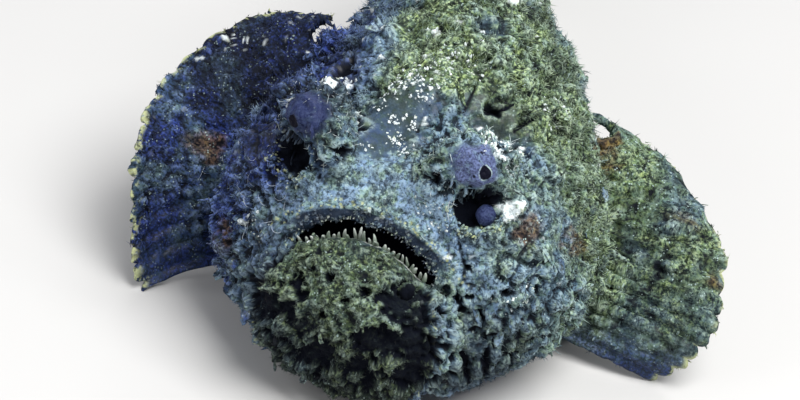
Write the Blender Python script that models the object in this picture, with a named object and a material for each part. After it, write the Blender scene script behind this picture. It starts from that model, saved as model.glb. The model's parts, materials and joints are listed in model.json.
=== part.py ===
"""Reef stonefish, life size, lying on the sea bed. Metres, +Z up, the fish faces -Y.

The body is lofted through upright cross sections, from the mouth to the root of the tail fin,
and is divided by thin flat cuts. The lower jaw is a domed shield in front of the mouth.
A place on the body is given by its station, the distance behind the foremost point of the
chin at mid height, and by its distance from the mid plane.
"""

import math
import random

import bmesh
import bpy
import numpy as np
from mathutils import Vector
from mathutils.bvhtree import BVHTree

# Driving sizes of the fish
TOTAL_LENGTH = 0.330
CHIN_TO_TAIL_ROOT = 0.265
FRONT_Y = -TOTAL_LENGTH / 2
GAP = 0.0003  # clear space between pieces that touch
HALF_GAP = GAP / 2

# Lines of the body, each a list of (station, value)
BACK = (
    (0.0200, 0.0610), (0.0235, 0.0680), (0.0275, 0.0730), (0.034, 0.0770), (0.044, 0.0800), (0.056, 0.0860),
    (0.068, 0.0935), (0.082, 0.1010), (0.100, 0.1065), (0.115, 0.1080), (0.137, 0.1030), (0.162, 0.0915),
    (0.190, 0.0755), (0.220, 0.0605), (0.245, 0.0515), (0.265, 0.0500),
)
BELLY = (
    (0.0200, 0.0030), (0.032, 0.0004), (0.050, -0.0012), (0.160, -0.0012), (0.190, 0.0045), (0.220, 0.0125),
    (0.245, 0.0185), (0.265, 0.0195),
)
HALF_WIDTH = (
    (0.0200, 0.0350), (0.0235, 0.0420), (0.0285, 0.0470), (0.038, 0.0530), (0.052, 0.0575), (0.068, 0.0590),
    (0.088, 0.0555), (0.108, 0.0500), (0.130, 0.0440), (0.160, 0.0365), (0.190, 0.0275), (0.220, 0.0190),
    (0.245, 0.0130), (0.265, 0.0105),
)
WIDEST_AT = (
    (0.0200, 0.41), (0.030, 0.42), (0.050, 0.40), (0.080, 0.34), (0.120, 0.32), (0.180, 0.38), (0.265, 0.50),
)
CROWN_POWER = (
    (0.0200, 2.0), (0.026, 2.3), (0.040, 2.5), (0.058, 2.1), (0.080, 1.55), (0.120, 1.4), (0.265, 2.0),
)
BELLY_POWER = ((0.0200, 2.0), (0.060, 2.1), (0.140, 2.0), (0.200, 2.0), (0.265, 2.0))

# The trunk swings to the fish's right behind the gills: first and last station, and how far
TRUNK_SWING = (0.090, 0.220, 0.040)

# Where the body is divided
MOUTH = 0.0200
GILL_OPENING = 0.090
VENT = 0.172
TAIL_ROOT = CHIN_TO_TAIL_ROOT

# Lower jaw, mouth and lips
CHIN_HEIGHT = 0.0330
GAPE_DOWN = 0.0052
GAPE_FORWARD = 0.0018
GAPE_FULL_TO = math.radians(46)
GAPE_SHUT_AT = math.radians(84)
MOUTH_LEAN = 0.0020
MOUTH_DEPTH = 0.014
JAW_HOLLOW = 0.006
LIP_ROLL = 0.0016
UPPER_LIP_ROLLS = ((1, 0.0010), (2, -0.0007), (3, 0.0009))  # (row behind the rim, height): lip, groove, band
PAPILLAE = 17
PAPILLAE_SPAN = math.radians(112)  # the fringe of the lower lip, from side to side round the chin
PAPILLA_LONG = 0.0036
PAPILLA_THICK = 0.0015

# Eyes and the pits beneath them
EYE_RADIUS = 0.0054
EYE_CENTRE = (0.0261, FRONT_Y + 0.0278, 0.0832)
EYE_LOOKS = (0.50, -0.85, 0.15)
PUPIL_PROUD = 0.0006
EYE_DOME_RADIUS = 0.0066  # the skin round an eye, its middle set back from the eye's
EYE_DOME_BACK = 0.0022
LID_FALL = math.radians(66)  # from the way the eye looks to the rim of its lids
LID_THICK = 0.0014
LID_SIDES = 14
NOSTRIL_RADIUS = 0.0015
NOSTRIL_STATION = 0.0262
NOSTRIL_OUT = 0.0150
NOSTRIL_HIGH = 0.070
PIT_CENTRE = (0.0288, FRONT_Y + 0.0255, 0.0700)
PIT_RADIUS = 0.0070

# Fins: (rays, rows of points, thickness at the root, at the tip, of the web as a share, depth of the notches)
PECTORAL = (15, 6, 0.0052, 0.0016, 0.45, 0.10)
PELVIC = (6, 6, 0.0048, 0.0018, 0.55, 0.10)
SPINY_DORSAL = (13, 5, 0.0062, 0.0018, 0.42, 0.45)
SOFT_DORSAL = (6, 5, 0.0044, 0.0014, 0.50, 0.12)
ANAL = (8, 5, 0.0046, 0.0014, 0.50, 0.16)
CAUDAL = (12, 6, 0.0060, 0.0014, 0.50, 0.06)
ROOT_SUNK = 0.004

# Pectorals, the left one (1) and the right (-1). The spread is the reach of the lowest ray, the ways that the
# lowest and the highest ray point, in degrees back from straight out, and how steeply the highest climbs
PECTORAL_ROOT = (0.078, 0.108, 0.006, 0.056)  # stations and heights of the lowest and the highest ray
PECTORAL_TURN = 2.6
PECTORAL_BULGE = 0.014
PECTORAL_DIP = 8
PECTORAL_TOP_SHORTER = 0.58
PECTORAL_FOOT = (20, 0.010)  # degrees and length by which the lowest rays turn out and grow along the floor
PECTORAL_BOW = (0.009, -0.003, 0.002)
PECTORAL_SPREAD = {1: (0.0295, -20, 80, 8), -1: (0.0405, -64, 62, 26)}

# Pelvics: stations of the root, distance from the mid plane, reach outwards and backwards, first and last turn
PELVIC_ROOT = (0.072, 0.106)
PELVIC_OUT = 0.0180
PELVIC_HIGH = 0.0030
PELVIC_REACH = (0.034, 0.056)
PELVIC_TURNS = (8, 82)

# Fins in the mid plane: first and last station, height, rise of the outline midway, how far the tips lie back
SPINES_RUN = (0.094, 0.198, 0.017, 0.006, 0.012)
SPINES_FALL = 0.005  # how much shorter the last spine is
SOFT_DORSAL_RUN = (0.204, 0.244, 0.016, 0.006, 0.014)
ANAL_RUN = (0.182, 0.234, 0.014, 0.003, 0.012)
ANAL_CLEAR = 0.0012  # height of its tips over the floor, at the least
TAIL_FAN = math.radians(62)
TAIL_HALF_HEIGHT = 0.036
TAIL_ROOT_HALF_HEIGHT = 0.0135

# Broad relief of the head: (name, distance from mid plane, station, radius, height, direction on the +X side)
KNOBS = (
    ("eye turret", 0.0260, 0.0305, 0.0185, 0.0160, (0.03, -0.10, 1.0)),
    ("knob before the eye", 0.0155, 0.0280, 0.0095, 0.0070, (0.0, -0.3, 0.9)),
    ("nostril boss", 0.0150, 0.0260, 0.0055, 0.0018, (0.2, -0.7, 0.7)),
    ("ridge behind the eye", 0.0300, 0.0420, 0.0090, 0.0060, (0.3, 0.0, 1.0)),
    ("brow ridge", 0.0190, 0.0380, 0.0080, 0.0055, (0.0, 0.0, 1.0)),
    ("nape pit", 0.0234, 0.0500, 0.0130, -0.0100, (0.15, 0.0, 1.0)),
    ("temple knob", 0.0400, 0.0520, 0.0090, 0.0050, (0.6, 0.0, 0.8)),
    ("cheek knob", 0.0440, 0.0400, 0.0110, 0.0045, (0.8, -0.3, 0.5)),
    ("shoulder knob", 0.0360, 0.0800, 0.0120, 0.0050, (0.5, 0.0, 0.8)),
)
MID_RELIEF = (
    ("saddle between the eyes", 0.0360, 0.0130, -0.0020, (0.0, 0.0, 1.0)),
    ("nape ridge", 0.0560, 0.0150, 0.0045, (0.0, 0.0, 1.0)),
)

# Warts: (how many, first and last station, least and most radius). On the jaw, a lift stands for the station
HEAD_WARTS = (18, 0.034, 0.084, 0.0016, 0.0032)
TORSO_WARTS = (16, 0.096, 0.166, 0.0018, 0.0036)
STOCK_WARTS = (6, 0.178, 0.250, 0.0014, 0.0024)
JAW_WARTS = (9, 0.36, 0.76, 0.0014, 0.0026)
WART_APART = 0.0120
WART_TURNS = math.radians(118)  # warts reach this far round from the crown
WART_HEIGHT = 0.75  # as a share of the radius
LUMPS = 0.0015  # most that the rough skin stands out or in
JAW_LUMPS = 0.0009

# Skin flaps of the head: (station, turn from the crown in degrees, length, width, way it hangs: out, back, up)
FLAPS = (
    (0.0225, 100, 0.0085, 0.0070, (0.8, -0.9, -0.9)),
    (0.0260, 80, 0.0055, 0.0055, (1.0, -0.8, -0.2)),
    (0.0300, 108, 0.0070, 0.0060, (0.9, -0.5, -0.8)),
    (0.0360, 96, 0.0060, 0.0055, (1.0, -0.5, -0.3)),
    (0.0430, 112, 0.0075, 0.0062, (0.9, -0.3, -0.8)),
    (0.0520, 100, 0.0070, 0.0060, (1.0, -0.2, -0.4)),
    (0.0600, 84, 0.0060, 0.0050, (1.0, -0.1, 0.2)),
    (0.0700, 104, 0.0070, 0.0058, (1.0, 0.1, -0.5)),
)
FLAP_THICK = 0.0014

# Mesh fineness
COLUMNS = 54
BELLY_SHARE = 0.4
JAW_RINGS = 7
HEAD_ROWS = 18
TORSO_ROWS = 10
STOCK_ROWS = 8

SKIN_COLOUR = (0.135, 0.175, 0.135, 1.0)
JAW_COLOUR = (0.120, 0.150, 0.080, 1.0)
FIN_COLOUR = (0.120, 0.150, 0.170, 1.0)
EYE_COLOUR = (0.170, 0.170, 0.250, 1.0)


def line(points, station):
    """Value of a body line at a station, on a smooth curve that never overshoots its points."""
    x, y = np.array(points).T
    step = np.diff(x)
    slope = np.diff(y) / step
    inner = np.where(slope[:-1] * slope[1:] > 0, 2 / (1 / (slope[:-1] + 1e-12) + 1 / (slope[1:] + 1e-12)), 0.0)
    tangent = np.concatenate([slope[:1], inner, slope[-1:]])
    station = np.clip(station, x[0], x[-1])
    i = np.clip(np.searchsorted(x, station) - 1, 0, len(step) - 1)
    w = (station - x[i]) / step[i]
    return (
        y[i] * (1 + 2 * w) * (1 - w) ** 2
        + step[i] * tangent[i] * w * (1 - w) ** 2
        + y[i + 1] * w * w * (3 - 2 * w)
        + step[i] * tangent[i + 1] * w * w * (w - 1)
    )


def section_sizes(station):
    top, bottom = line(BACK, station), line(BELLY, station)
    middle = bottom + (top - bottom) * line(WIDEST_AT, station)
    return top, bottom, middle, line(HALF_WIDTH, station)


def section(station, columns=COLUMNS):
    """One upright cross section, its points going round from the crown towards +X."""
    top, bottom, middle, half = section_sizes(station)
    turn = np.linspace(0, 2 * math.pi, 721)
    up, out = np.cos(turn), np.sin(turn)
    power = 2 / np.where(up > 0, line(CROWN_POWER, station), line(BELLY_POWER, station))
    rise = np.where(up > 0, top - middle, middle - bottom)
    x = half * np.sign(out) * np.abs(out) ** power
    z = middle + rise * np.sign(up) * np.abs(up) ** power
    weight = np.where(up[1:] > -0.1, 1.0, BELLY_SHARE)
    walk = np.concatenate([[0], np.cumsum(np.hypot(np.diff(x), np.diff(z)) * weight)])
    wanted = walk[-1] * np.arange(columns) / columns
    x, z = np.interp(wanted, walk, x), np.interp(wanted, walk, z)
    return upright(station, x, z)


def upright(station, x, z):
    return np.stack([x, np.full(np.shape(x), FRONT_Y + station), z], axis=-1)


def on_back(x, station):
    """The point of the plain body above (x, station)."""
    top, _, middle, half = section_sizes(station)
    power = line(CROWN_POWER, station)
    z = middle + (top - middle) * (1 - min(abs(x) / half, 1) ** power) ** (1 / power)
    return upright(station, np.array(x), np.array(z))


def bump(points, centre, radius):
    """1 at the centre, falling smoothly to 0 at the radius."""
    away = np.linalg.norm(points - centre, axis=-1) / radius
    return np.where(away < 1, (1 - away**2) ** 2, 0)


def relieved(points):
    """The points of the plain body moved by the broad relief of the head, and kept above the floor."""
    moved = points.copy()
    for _, x, station, radius, height, direction in KNOBS:
        for side in (1, -1):
            towards = np.array(direction) * (side, 1, 1)
            centre = on_back(side * x, station)
            moved += bump(points, centre, radius)[..., None] * height * towards / np.linalg.norm(towards)
    for _, station, radius, height, direction in MID_RELIEF:
        moved += bump(points, on_back(0.0, station), radius)[..., None] * height * np.array(direction)
    moved[..., 2] = np.maximum(moved[..., 2], 0.0)
    return moved


def mesh_object(name, points, faces, colour, roughness=0.75):
    """An object with its own material. Faces are triangles or quads of point numbers."""
    mesh = bpy.data.meshes.new(name)
    mesh.from_pydata([tuple(p) for p in points], [], faces)
    mesh.validate()
    mesh.shade_smooth()
    material = bpy.data.materials.new(name)
    material.use_nodes = True
    shader = material.node_tree.nodes["Principled BSDF"]
    shader.inputs["Base Color"].default_value = colour
    shader.inputs["Roughness"].default_value = roughness
    mesh.materials.append(material)
    made = bpy.data.objects.new(name, mesh)
    bpy.context.scene.collection.objects.link(made)
    return made


def tube_of_rings(rings):
    """(points, faces) of a closed body: rings of equal length, the first and last shrunk to one point each."""
    columns = len(rings[0])
    points = np.concatenate([rings[0].mean(axis=0)[None], *rings, rings[-1].mean(axis=0)[None]])
    faces = []
    for j in range(columns):
        k = (j + 1) % columns
        faces.append((0, 1 + k, 1 + j))
        for i in range(len(rings) - 1):
            a, b = 1 + i * columns, 1 + (i + 1) * columns
            faces.append((a + j, a + k, b + k))
            faces.append((a + j, b + k, b + j))
        last = 1 + (len(rings) - 1) * columns
        faces.append((last + j, last + k, len(points) - 1))
    return points, faces


def body_length(name, start, end, rows, colour):
    """A length of the body between two flat cuts."""
    rings = [relieved(section(s)) for s in np.linspace(start, end, rows)]
    points, faces = tube_of_rings(roughened(rings, 1, LUMPS))
    return mesh_object(name, points, faces, colour)


def mouth_turn(ring):
    """Angle of each point of the mouth's outline round the chin, 0 at the crown."""
    return np.abs(np.arctan2(ring[:, 0], ring[:, 2] - CHIN_HEIGHT))


def smooth_step(x, start, end):
    w = np.clip((x - start) / (end - start), 0, 1)
    return w * w * (3 - 2 * w)


def openness(ring):
    """1 where the mouth gapes, falling to 0 at its corners."""
    return 1 - smooth_step(mouth_turn(ring), GAPE_FULL_TO, GAPE_SHUT_AT)


def mouth_outline():
    """The rim that the upper lip and the cheeks share with the lower jaw, its top leaning back."""
    ring = relieved(section(MOUTH))
    ring[:, 1] += MOUTH_LEAN * (ring[:, 2] - CHIN_HEIGHT) / CHIN_HEIGHT
    return ring


def outward(ring):
    """Unit vectors from the middle of the chin to each point of the outline."""
    away = (ring - (0, 0, CHIN_HEIGHT)) * (1, 0, 1)
    return away / np.linalg.norm(away, axis=1)[:, None]


def hollow_rings(ring, depth):
    """Rings from the lip inwards, sunk by depth behind the open part of the mouth."""
    centre = ring.mean(axis=0)
    rings = []
    for share, sunk in ((0.93, 0.45), (0.80, 0.85), (0.60, 1.0), (0.40, 0.75), (0.20, 0.25)):
        rings.append(centre + (ring - centre) * share + (openness(ring) * sunk)[:, None] * depth)
    return rings


def roughened(rings, first, most):
    """Lumpy skin: points moved out or in by chance, clear of the cuts and of the floor."""
    draw = random.Random(len(rings))
    made = rings[:first]
    for ring in rings[first:-1]:
        lump = np.array([draw.uniform(-most, most) for _ in ring]) * smooth_step(ring[:, 2], 0.004, 0.014)
        made.append(ring + outward(ring) * lump[:, None])
    return made + rings[-1:]


def make_lower_jaw():
    mouth = mouth_outline()
    open_part = openness(mouth)[:, None]
    rim = mouth - (0, GAP, 0) - open_part * (GAPE_DOWN * outward(mouth) + (0, GAPE_FORWARD, 0))
    pole = np.array([0.0, FRONT_Y, CHIN_HEIGHT])
    rings = []
    for quarter in np.linspace(0, math.pi / 2, JAW_RINGS + 1)[1:]:
        out = np.sin(quarter) ** 0.9
        back = 1 - np.cos(quarter)
        lip = LIP_ROLL * np.exp(-(((quarter - 1.40) / 0.12) ** 2))
        ring = pole + (rim - pole) * (out, back, out)
        rings.append(ring + lip * open_part * (outward(mouth) * 0.4 + (0, -0.8, 0)))
    rings = roughened(rings, 2, JAW_LUMPS)
    inward = hollow_rings(rim, np.array([0, -JAW_HOLLOW, -0.3 * JAW_HOLLOW]))
    points, faces = tube_of_rings(rings + inward)
    points[0] = pole
    jaw = mesh_object("lower_jaw", points, faces, JAW_COLOUR)
    return settle(jaw, joined=jaw_forms(jaw, rim))


def make_head():
    lip = mouth_outline()
    rings = hollow_rings(lip, np.array([0, MOUTH_DEPTH, -0.2 * MOUTH_DEPTH]))[::-1] + [lip]
    rolls = dict(UPPER_LIP_ROLLS)
    for row in range(1, HEAD_ROWS):
        share = row / (HEAD_ROWS - 1)
        station = MOUTH + (GILL_OPENING - HALF_GAP - MOUTH) * share**1.25
        ring = relieved(section(station)) + (lip - relieved(section(MOUTH))) * (1 - share) ** 4
        rings.append(ring + outward(ring) * rolls.get(row, 0.0) * openness(ring)[:, None])
    before_skin = len(rings) - HEAD_ROWS + 1 + len(UPPER_LIP_ROLLS)
    points, faces = tube_of_rings(roughened(rings, before_skin, LUMPS))
    return mesh_object("head", points, faces, SKIN_COLOUR)


def on_piece(tree, station, turn, height):
    """Place and outward direction on a body piece, seen from its middle line at a turn from the crown."""
    ray = Vector((math.sin(turn), 0.0, math.cos(turn)))
    place, normal, _, _ = tree.ray_cast(Vector((0.0, FRONT_Y + station, height)), ray)
    return np.array(place), np.array(normal if normal.dot(ray) > 0 else -normal)


def middle_height(station):
    return (line(BACK, station) + line(BELLY, station)) / 2


def wart(place, normal, radius):
    """A low round knob, its root sunk in the skin."""
    return ball("wart", place - normal * radius * (1 - WART_HEIGHT), radius, normal, SKIN_COLOUR, 3, 6)


def warts_on(tree, warts, seed, find=None):
    """Warts scattered by chance, kept apart from each other. find gives a place and its outward direction."""
    draw = random.Random(seed)
    count, first, last, least, most = warts
    made, places = [], bare_places()
    while len(made) < count:
        station, turn = draw.uniform(first, last), draw.uniform(-WART_TURNS, WART_TURNS)
        radius = draw.uniform(least, most)
        place, normal = (find or on_length)(tree, station, turn)
        if min(np.linalg.norm(place - other) for other in places) > WART_APART:
            places.append(place)
            made.append(wart(place, normal, radius))
    return made


def on_length(tree, station, turn):
    return on_piece(tree, station, turn, middle_height(station))


def on_shield(tree, lift, turn):
    """The point of the chin shield at a turn from the crown, and at a lift of 0 in front to 1 at its rim."""
    ray = Vector((math.sin(turn) * lift, lift - 1, math.cos(turn) * lift))
    place, normal, _, _ = tree.ray_cast(Vector((0.0, FRONT_Y + 0.8 * MOUTH, CHIN_HEIGHT)), ray)
    return np.array(place), np.array(normal if normal.dot(ray) > 0 else -normal)


def bare_places():
    """Middles of the eyes and pits, which no wart comes near."""
    return [np.array(centre) * (side, 1, 1) for side in (1, -1) for centre in (EYE_CENTRE, PIT_CENTRE)]


def spike(root, towards, across, length, width, thick, name="spike"):
    """A tapered spike or flap: four sides from the sunk root, narrower midway, and a pointed tip."""
    towards = np.array(towards) / np.linalg.norm(towards)
    side = np.cross(across, towards)
    side = side / np.linalg.norm(side)
    flat = np.cross(towards, side)
    rings = []
    for along, share in ((-0.35, 1.0), (0.5, 0.75)):
        middle = root + towards * length * along
        rings.append(np.array([middle + side * width * share / 2, middle + flat * thick * share / 2,
                               middle - side * width * share / 2, middle - flat * thick * share / 2]))
    points, faces = tube_of_rings(rings)
    points[-1] = root + towards * length
    return mesh_object(name, points, faces, SKIN_COLOUR)


def gathered(name, pieces):
    """A collection that holds the pieces, for one Boolean union."""
    collection = bpy.data.collections.new(name)
    for piece in pieces:
        collection.objects.link(piece)
        bpy.context.scene.collection.objects.unlink(piece)
    return collection


def eye_dome(side):
    """The dome of bare skin that carries an eye."""
    looks = np.array(EYE_LOOKS) * (side, 1, 1)
    middle = np.array(EYE_CENTRE) * (side, 1, 1) - looks / np.linalg.norm(looks) * EYE_DOME_BACK
    return ball("eye_dome", middle, EYE_DOME_RADIUS, looks, SKIN_COLOUR, 6, LID_SIDES)


def eyelids(side):
    """A ring of skin round the opening of an eye."""
    looks = np.array(EYE_LOOKS) * (side, 1, 1)
    looks = looks / np.linalg.norm(looks)
    middle = np.array(EYE_CENTRE) * (side, 1, 1) + looks * EYE_RADIUS * math.cos(LID_FALL)
    radius = EYE_RADIUS * math.sin(LID_FALL) + 0.4 * LID_THICK
    return ring_of_skin("eyelids", middle, looks, radius, LID_THICK / 2, LID_SIDES, 5)


def nostril(tree, side):
    """A short tube that opens forwards, between the eye and the mouth."""
    turn = math.atan2(side * NOSTRIL_OUT, NOSTRIL_HIGH - middle_height(NOSTRIL_STATION))
    place, normal = on_piece(tree, NOSTRIL_STATION, turn, middle_height(NOSTRIL_STATION))
    looks = normal + np.array((0, -0.8, 0))
    looks = looks / np.linalg.norm(looks)
    middle = place + looks * 0.3 * NOSTRIL_RADIUS
    return ring_of_skin("nostril", middle, looks, NOSTRIL_RADIUS, 0.5 * NOSTRIL_RADIUS, 8, 5)


def ring_of_skin(name, centre, looks, radius, thick, around, sides):
    """A closed round ring with its axis along looks, a unit vector."""
    across = np.cross(looks, (0, 0, 1))
    across /= np.linalg.norm(across)
    up = np.cross(across, looks)
    points, faces = [], []
    for i in range(around):
        turn = 2 * math.pi * i / around
        out = math.cos(turn) * across + math.sin(turn) * up
        for j in range(sides):
            roll = 2 * math.pi * j / sides
            points.append(centre + out * (radius + thick * math.cos(roll)) + looks * thick * math.sin(roll))
            a, b = i * sides + j, i * sides + (j + 1) % sides
            c, d = ((i + 1) % around) * sides + (j + 1) % sides, ((i + 1) % around) * sides + j
            faces += [(a, b, c), (a, c, d)]
    return mesh_object(name, points, faces, SKIN_COLOUR)


def head_forms(head):
    """Everything that is fused on the head: warts, lids, nostrils and skin flaps."""
    tree = BVHTree.FromObject(head, bpy.context.evaluated_depsgraph_get())
    made = warts_on(tree, HEAD_WARTS, 11)
    for side in (1, -1):
        made += [eye_dome(side), eyelids(side), nostril(tree, side)]
        for station, turn, length, width, hangs in FLAPS:
            place, normal = on_piece(tree, station, side * math.radians(turn), middle_height(station))
            made.append(spike(place, np.array(hangs) * (side, 1, 1), normal, length, width, FLAP_THICK))
    return gathered("head_forms", made)


def jaw_forms(jaw, rim):
    """The fringe of papillae along the lower lip, and the warts of the chin."""
    tree = BVHTree.FromObject(jaw, bpy.context.evaluated_depsgraph_get())
    made = warts_on(tree, JAW_WARTS, 5, on_shield)
    draw = random.Random(6)
    turns = np.sign(rim[:, 0]) * mouth_turn(rim)
    order = np.argsort(turns)
    for number in range(PAPILLAE):
        turn = PAPILLAE_SPAN * (number / (PAPILLAE - 1) - 0.5) + draw.uniform(-0.02, 0.02)
        lip = np.array([np.interp(turn, turns[order], rim[order, axis]) for axis in range(3)])
        away = np.array((math.sin(turn), 0, math.cos(turn)))
        towards = away + (draw.uniform(-0.25, 0.25), -0.15, draw.uniform(-0.1, 0.2))
        length = PAPILLA_LONG * draw.uniform(0.75, 1.15)
        root = lip - (0, 0.4 * PAPILLA_LONG, 0) - away * 0.33 * PAPILLA_LONG
        made.append(spike(root, towards, (0, 1, 0), length, PAPILLA_THICK, PAPILLA_THICK))
    return gathered("jaw_forms", made)


def fin_sheet(name, root, tip, form, bow=(0, 0, 0), colour=FIN_COLOUR):
    """A closed fin. root and tip give a point for each share across, 0 to 1, and bow bends the rays midway."""
    rays, rows, root_thick, tip_thick, web, notch = form
    columns = 2 * rays - 1
    across = np.linspace(0, 1, columns)
    is_web = np.arange(columns) % 2
    base = np.array([root(u) for u in across])
    ends = np.array([tip(u) for u in across])
    along = np.linspace(0, 1, rows)[:, None] * (1 - notch * is_web)[None]
    middle = base + (ends - base) * along[..., None] + np.array(bow) * (4 * along * (1 - along))[..., None]
    normal = np.cross(np.gradient(middle, axis=1), np.gradient(middle, axis=0))
    normal /= np.linalg.norm(normal, axis=-1)[..., None]
    thick = root_thick + (tip_thick - root_thick) * np.linspace(0, 1, rows)[:, None]
    thick = thick * np.where(is_web, web, 1.0)[None]
    middle[..., 2] = np.maximum(middle[..., 2], thick / 2)
    half = (thick / 2)[..., None] * normal
    points = np.concatenate([(middle + half).reshape(-1, 3), (middle - half).reshape(-1, 3)])
    points[:, 2] = np.maximum(points[:, 2], 0.0)
    return mesh_object(name, points, sheet_faces(rows, columns), colour)


def sheet_faces(rows, columns):
    """Triangles of two like grids of points, one behind the other, joined round their rim."""
    number = np.arange(rows * columns).reshape(rows, columns)
    other = number + rows * columns
    faces = []
    for i in range(rows - 1):
        for j in range(columns - 1):
            a, b, c, d = number[i, j], number[i, j + 1], number[i + 1, j + 1], number[i + 1, j]
            faces += [(a, b, c), (a, c, d)]
            a, b, c, d = other[i, j], other[i, j + 1], other[i + 1, j + 1], other[i + 1, j]
            faces += [(a, c, b), (a, d, c)]
    rim = [*number[0], *number[1:, -1], *number[-1, -2::-1], *number[-2:0:-1, 0]]
    for a, b in zip(rim, rim[1:] + rim[:1]):
        faces += [(a, a + rows * columns, b + rows * columns), (a, b + rows * columns, b)]
    return [tuple(int(n) for n in face) for face in faces]


def on_side(side, station, z):
    """The point of the plain body at a station and height, on one side."""
    top, bottom, middle, half = section_sizes(station)
    rise, power = (top - middle, line(CROWN_POWER, station)) if z > middle else (
        middle - bottom, line(BELLY_POWER, station))
    x = side * half * (1 - min(abs(z - middle) / rise, 1) ** power) ** (1 / power)
    return upright(station, np.array(x), np.array(z))


def swollen(body):
    """A cutter: a copy of a body piece, bigger by the gap."""
    cutter = body.copy()
    cutter.data = body.data.copy()
    cutter.name = "gap_round_" + body.name
    for vertex, normal in zip(cutter.data.vertices, [v.normal.copy() for v in body.data.vertices]):
        vertex.co += normal * GAP * 1.25
    cutter.hide_render = True
    cutter.display_type = "WIRE"
    bpy.context.scene.collection.objects.link(cutter)
    return cutter


def settle(piece, *cutters, joined=None):
    """Applies a union with a collection and a cut by each cutter, and keeps the largest body."""
    if joined:
        union = piece.modifiers.new("join", "BOOLEAN")
        union.operation, union.operand_type, union.collection = "UNION", "COLLECTION", joined
    for cutter in cutters:
        cut = piece.modifiers.new("clear", "BOOLEAN")
        cut.operation, cut.object = "DIFFERENCE", cutter
    evaluated = piece.evaluated_get(bpy.context.evaluated_depsgraph_get())
    mesh = bpy.data.meshes.new_from_object(evaluated)
    piece.modifiers.clear()
    piece.data = mesh
    keep_largest(mesh)
    if joined:
        for old in list(joined.objects):
            bpy.data.objects.remove(old)
        bpy.data.collections.remove(joined)
    return piece


def keep_largest(mesh):
    """Leaves only the closed surface of the mesh that holds the most."""
    work = bmesh.new()
    work.from_mesh(mesh)
    left, bodies = set(work.verts), []
    while left:
        body, edge = set(), [left.pop()]
        while edge:
            vertex = edge.pop()
            body.add(vertex)
            for near in (e.other_vert(vertex) for e in vertex.link_edges):
                if near in left:
                    left.discard(near)
                    edge.append(near)
        bodies.append(body)
    bodies.sort(key=lambda body: enclosed(body))
    bmesh.ops.delete(work, geom=[v for body in bodies[:-1] for v in body], context="VERTS")
    bmesh.ops.triangulate(work, faces=work.faces)
    work.to_mesh(mesh)
    work.free()


def enclosed(vertices):
    """Volume inside the surface that these vertices carry."""
    total = 0.0
    for face in {f for v in vertices for f in v.link_faces}:
        corners = [loop.vert.co for loop in face.loops]
        total += sum(corners[0].dot(b.cross(c)) for b, c in zip(corners[1:], corners[2:])) / 6
    return total


def ball(name, centre, radius, towards, colour, rings=7, columns=12, pole_rise=0.0):
    """A round body whose pole points towards a direction, raised there by pole_rise."""
    axis = np.array(towards) / np.linalg.norm(towards)
    side = np.cross(axis, (0, 0, 1))
    side /= np.linalg.norm(side)
    up = np.cross(side, axis)
    turns = np.arange(columns) * 2 * math.pi / columns
    circle = np.cos(turns)[:, None] * side + np.sin(turns)[:, None] * up
    made = []
    for fall in np.linspace(0, math.pi, rings + 2)[1:-1]:
        made.append(np.array(centre) + radius * (math.sin(fall) * circle + math.cos(fall) * axis))
    points, faces = tube_of_rings(made)
    points[0] = np.array(centre) + axis * (radius + pole_rise)
    points[-1] = np.array(centre) - axis * radius
    return mesh_object(name, points, faces, colour, 0.3)


def make_eye(side):
    name = "eye_left" if side > 0 else "eye_right"
    flip = np.array((side, 1, 1))
    return ball(name, EYE_CENTRE * flip, EYE_RADIUS, EYE_LOOKS * flip, EYE_COLOUR, 7, 14, PUPIL_PROUD)


def make_pit(side):
    """Cutter for the deep pit beneath an eye."""
    centre = PIT_CENTRE * np.array((side, 1, 1))
    cutter = ball("pit", centre, PIT_RADIUS, (0.3 * side, -0.7, 0.6), EYE_COLOUR, 7, 14)
    cutter.hide_render = True
    cutter.display_type = "WIRE"
    return cutter


def make_pectoral(side, cutters):
    """A broad cupped fan whose lowest rays lie on the floor and whose highest are swept back."""
    name = "pectoral_fin_left" if side > 0 else "pectoral_fin_right"
    shortest, foremost, hindmost, top_climb = PECTORAL_SPREAD[side]

    first, last, low, high = PECTORAL_ROOT
    foot_turn, foot_reach = PECTORAL_FOOT

    def root(u):
        surface = on_side(side, first + (last - first) * u, low + (high - low) * u)
        return surface - np.array((side * ROOT_SUNK, 0, 0))

    def tip(u):
        foot = (1 - u) ** 3
        swing = math.radians(foremost + (hindmost - foremost) * u**PECTORAL_TURN + foot_turn * foot)
        climb = math.radians(-PECTORAL_DIP + (top_climb + PECTORAL_DIP) * u)
        reach = shortest + PECTORAL_BULGE * math.sin(math.pi * (0.2 + 0.6 * u)) + foot_reach * foot
        reach *= 1 - PECTORAL_TOP_SHORTER * u**4
        flat = reach * math.cos(climb)
        out, back = flat * math.cos(swing), flat * math.sin(swing)
        return root(u) + np.array((side * out, back, reach * math.sin(climb)))

    bow = np.array(PECTORAL_BOW) * (side, 1, 1)
    return settle(fin_sheet(name, root, tip, PECTORAL, bow), *cutters)


def make_pelvic(side, cutters):
    """A paddle spread on the floor beside the belly."""
    name = "pelvic_fin_left" if side > 0 else "pelvic_fin_right"
    first, last = PELVIC_ROOT
    start, end = PELVIC_TURNS

    def root(u):
        return np.array((side * PELVIC_OUT, FRONT_Y + first + (last - first) * u, PELVIC_HIGH))

    def tip(u):
        turn = math.radians(start + (end - start) * u)
        out, back = PELVIC_REACH
        return np.array((side * (PELVIC_OUT + out * math.cos(turn)),
                         FRONT_Y + first + 0.18 * out + back * math.sin(turn) + 0.2 * back * u, 0.0))

    return settle(fin_sheet(name, root, tip, PELVIC), *cutters)


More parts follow.
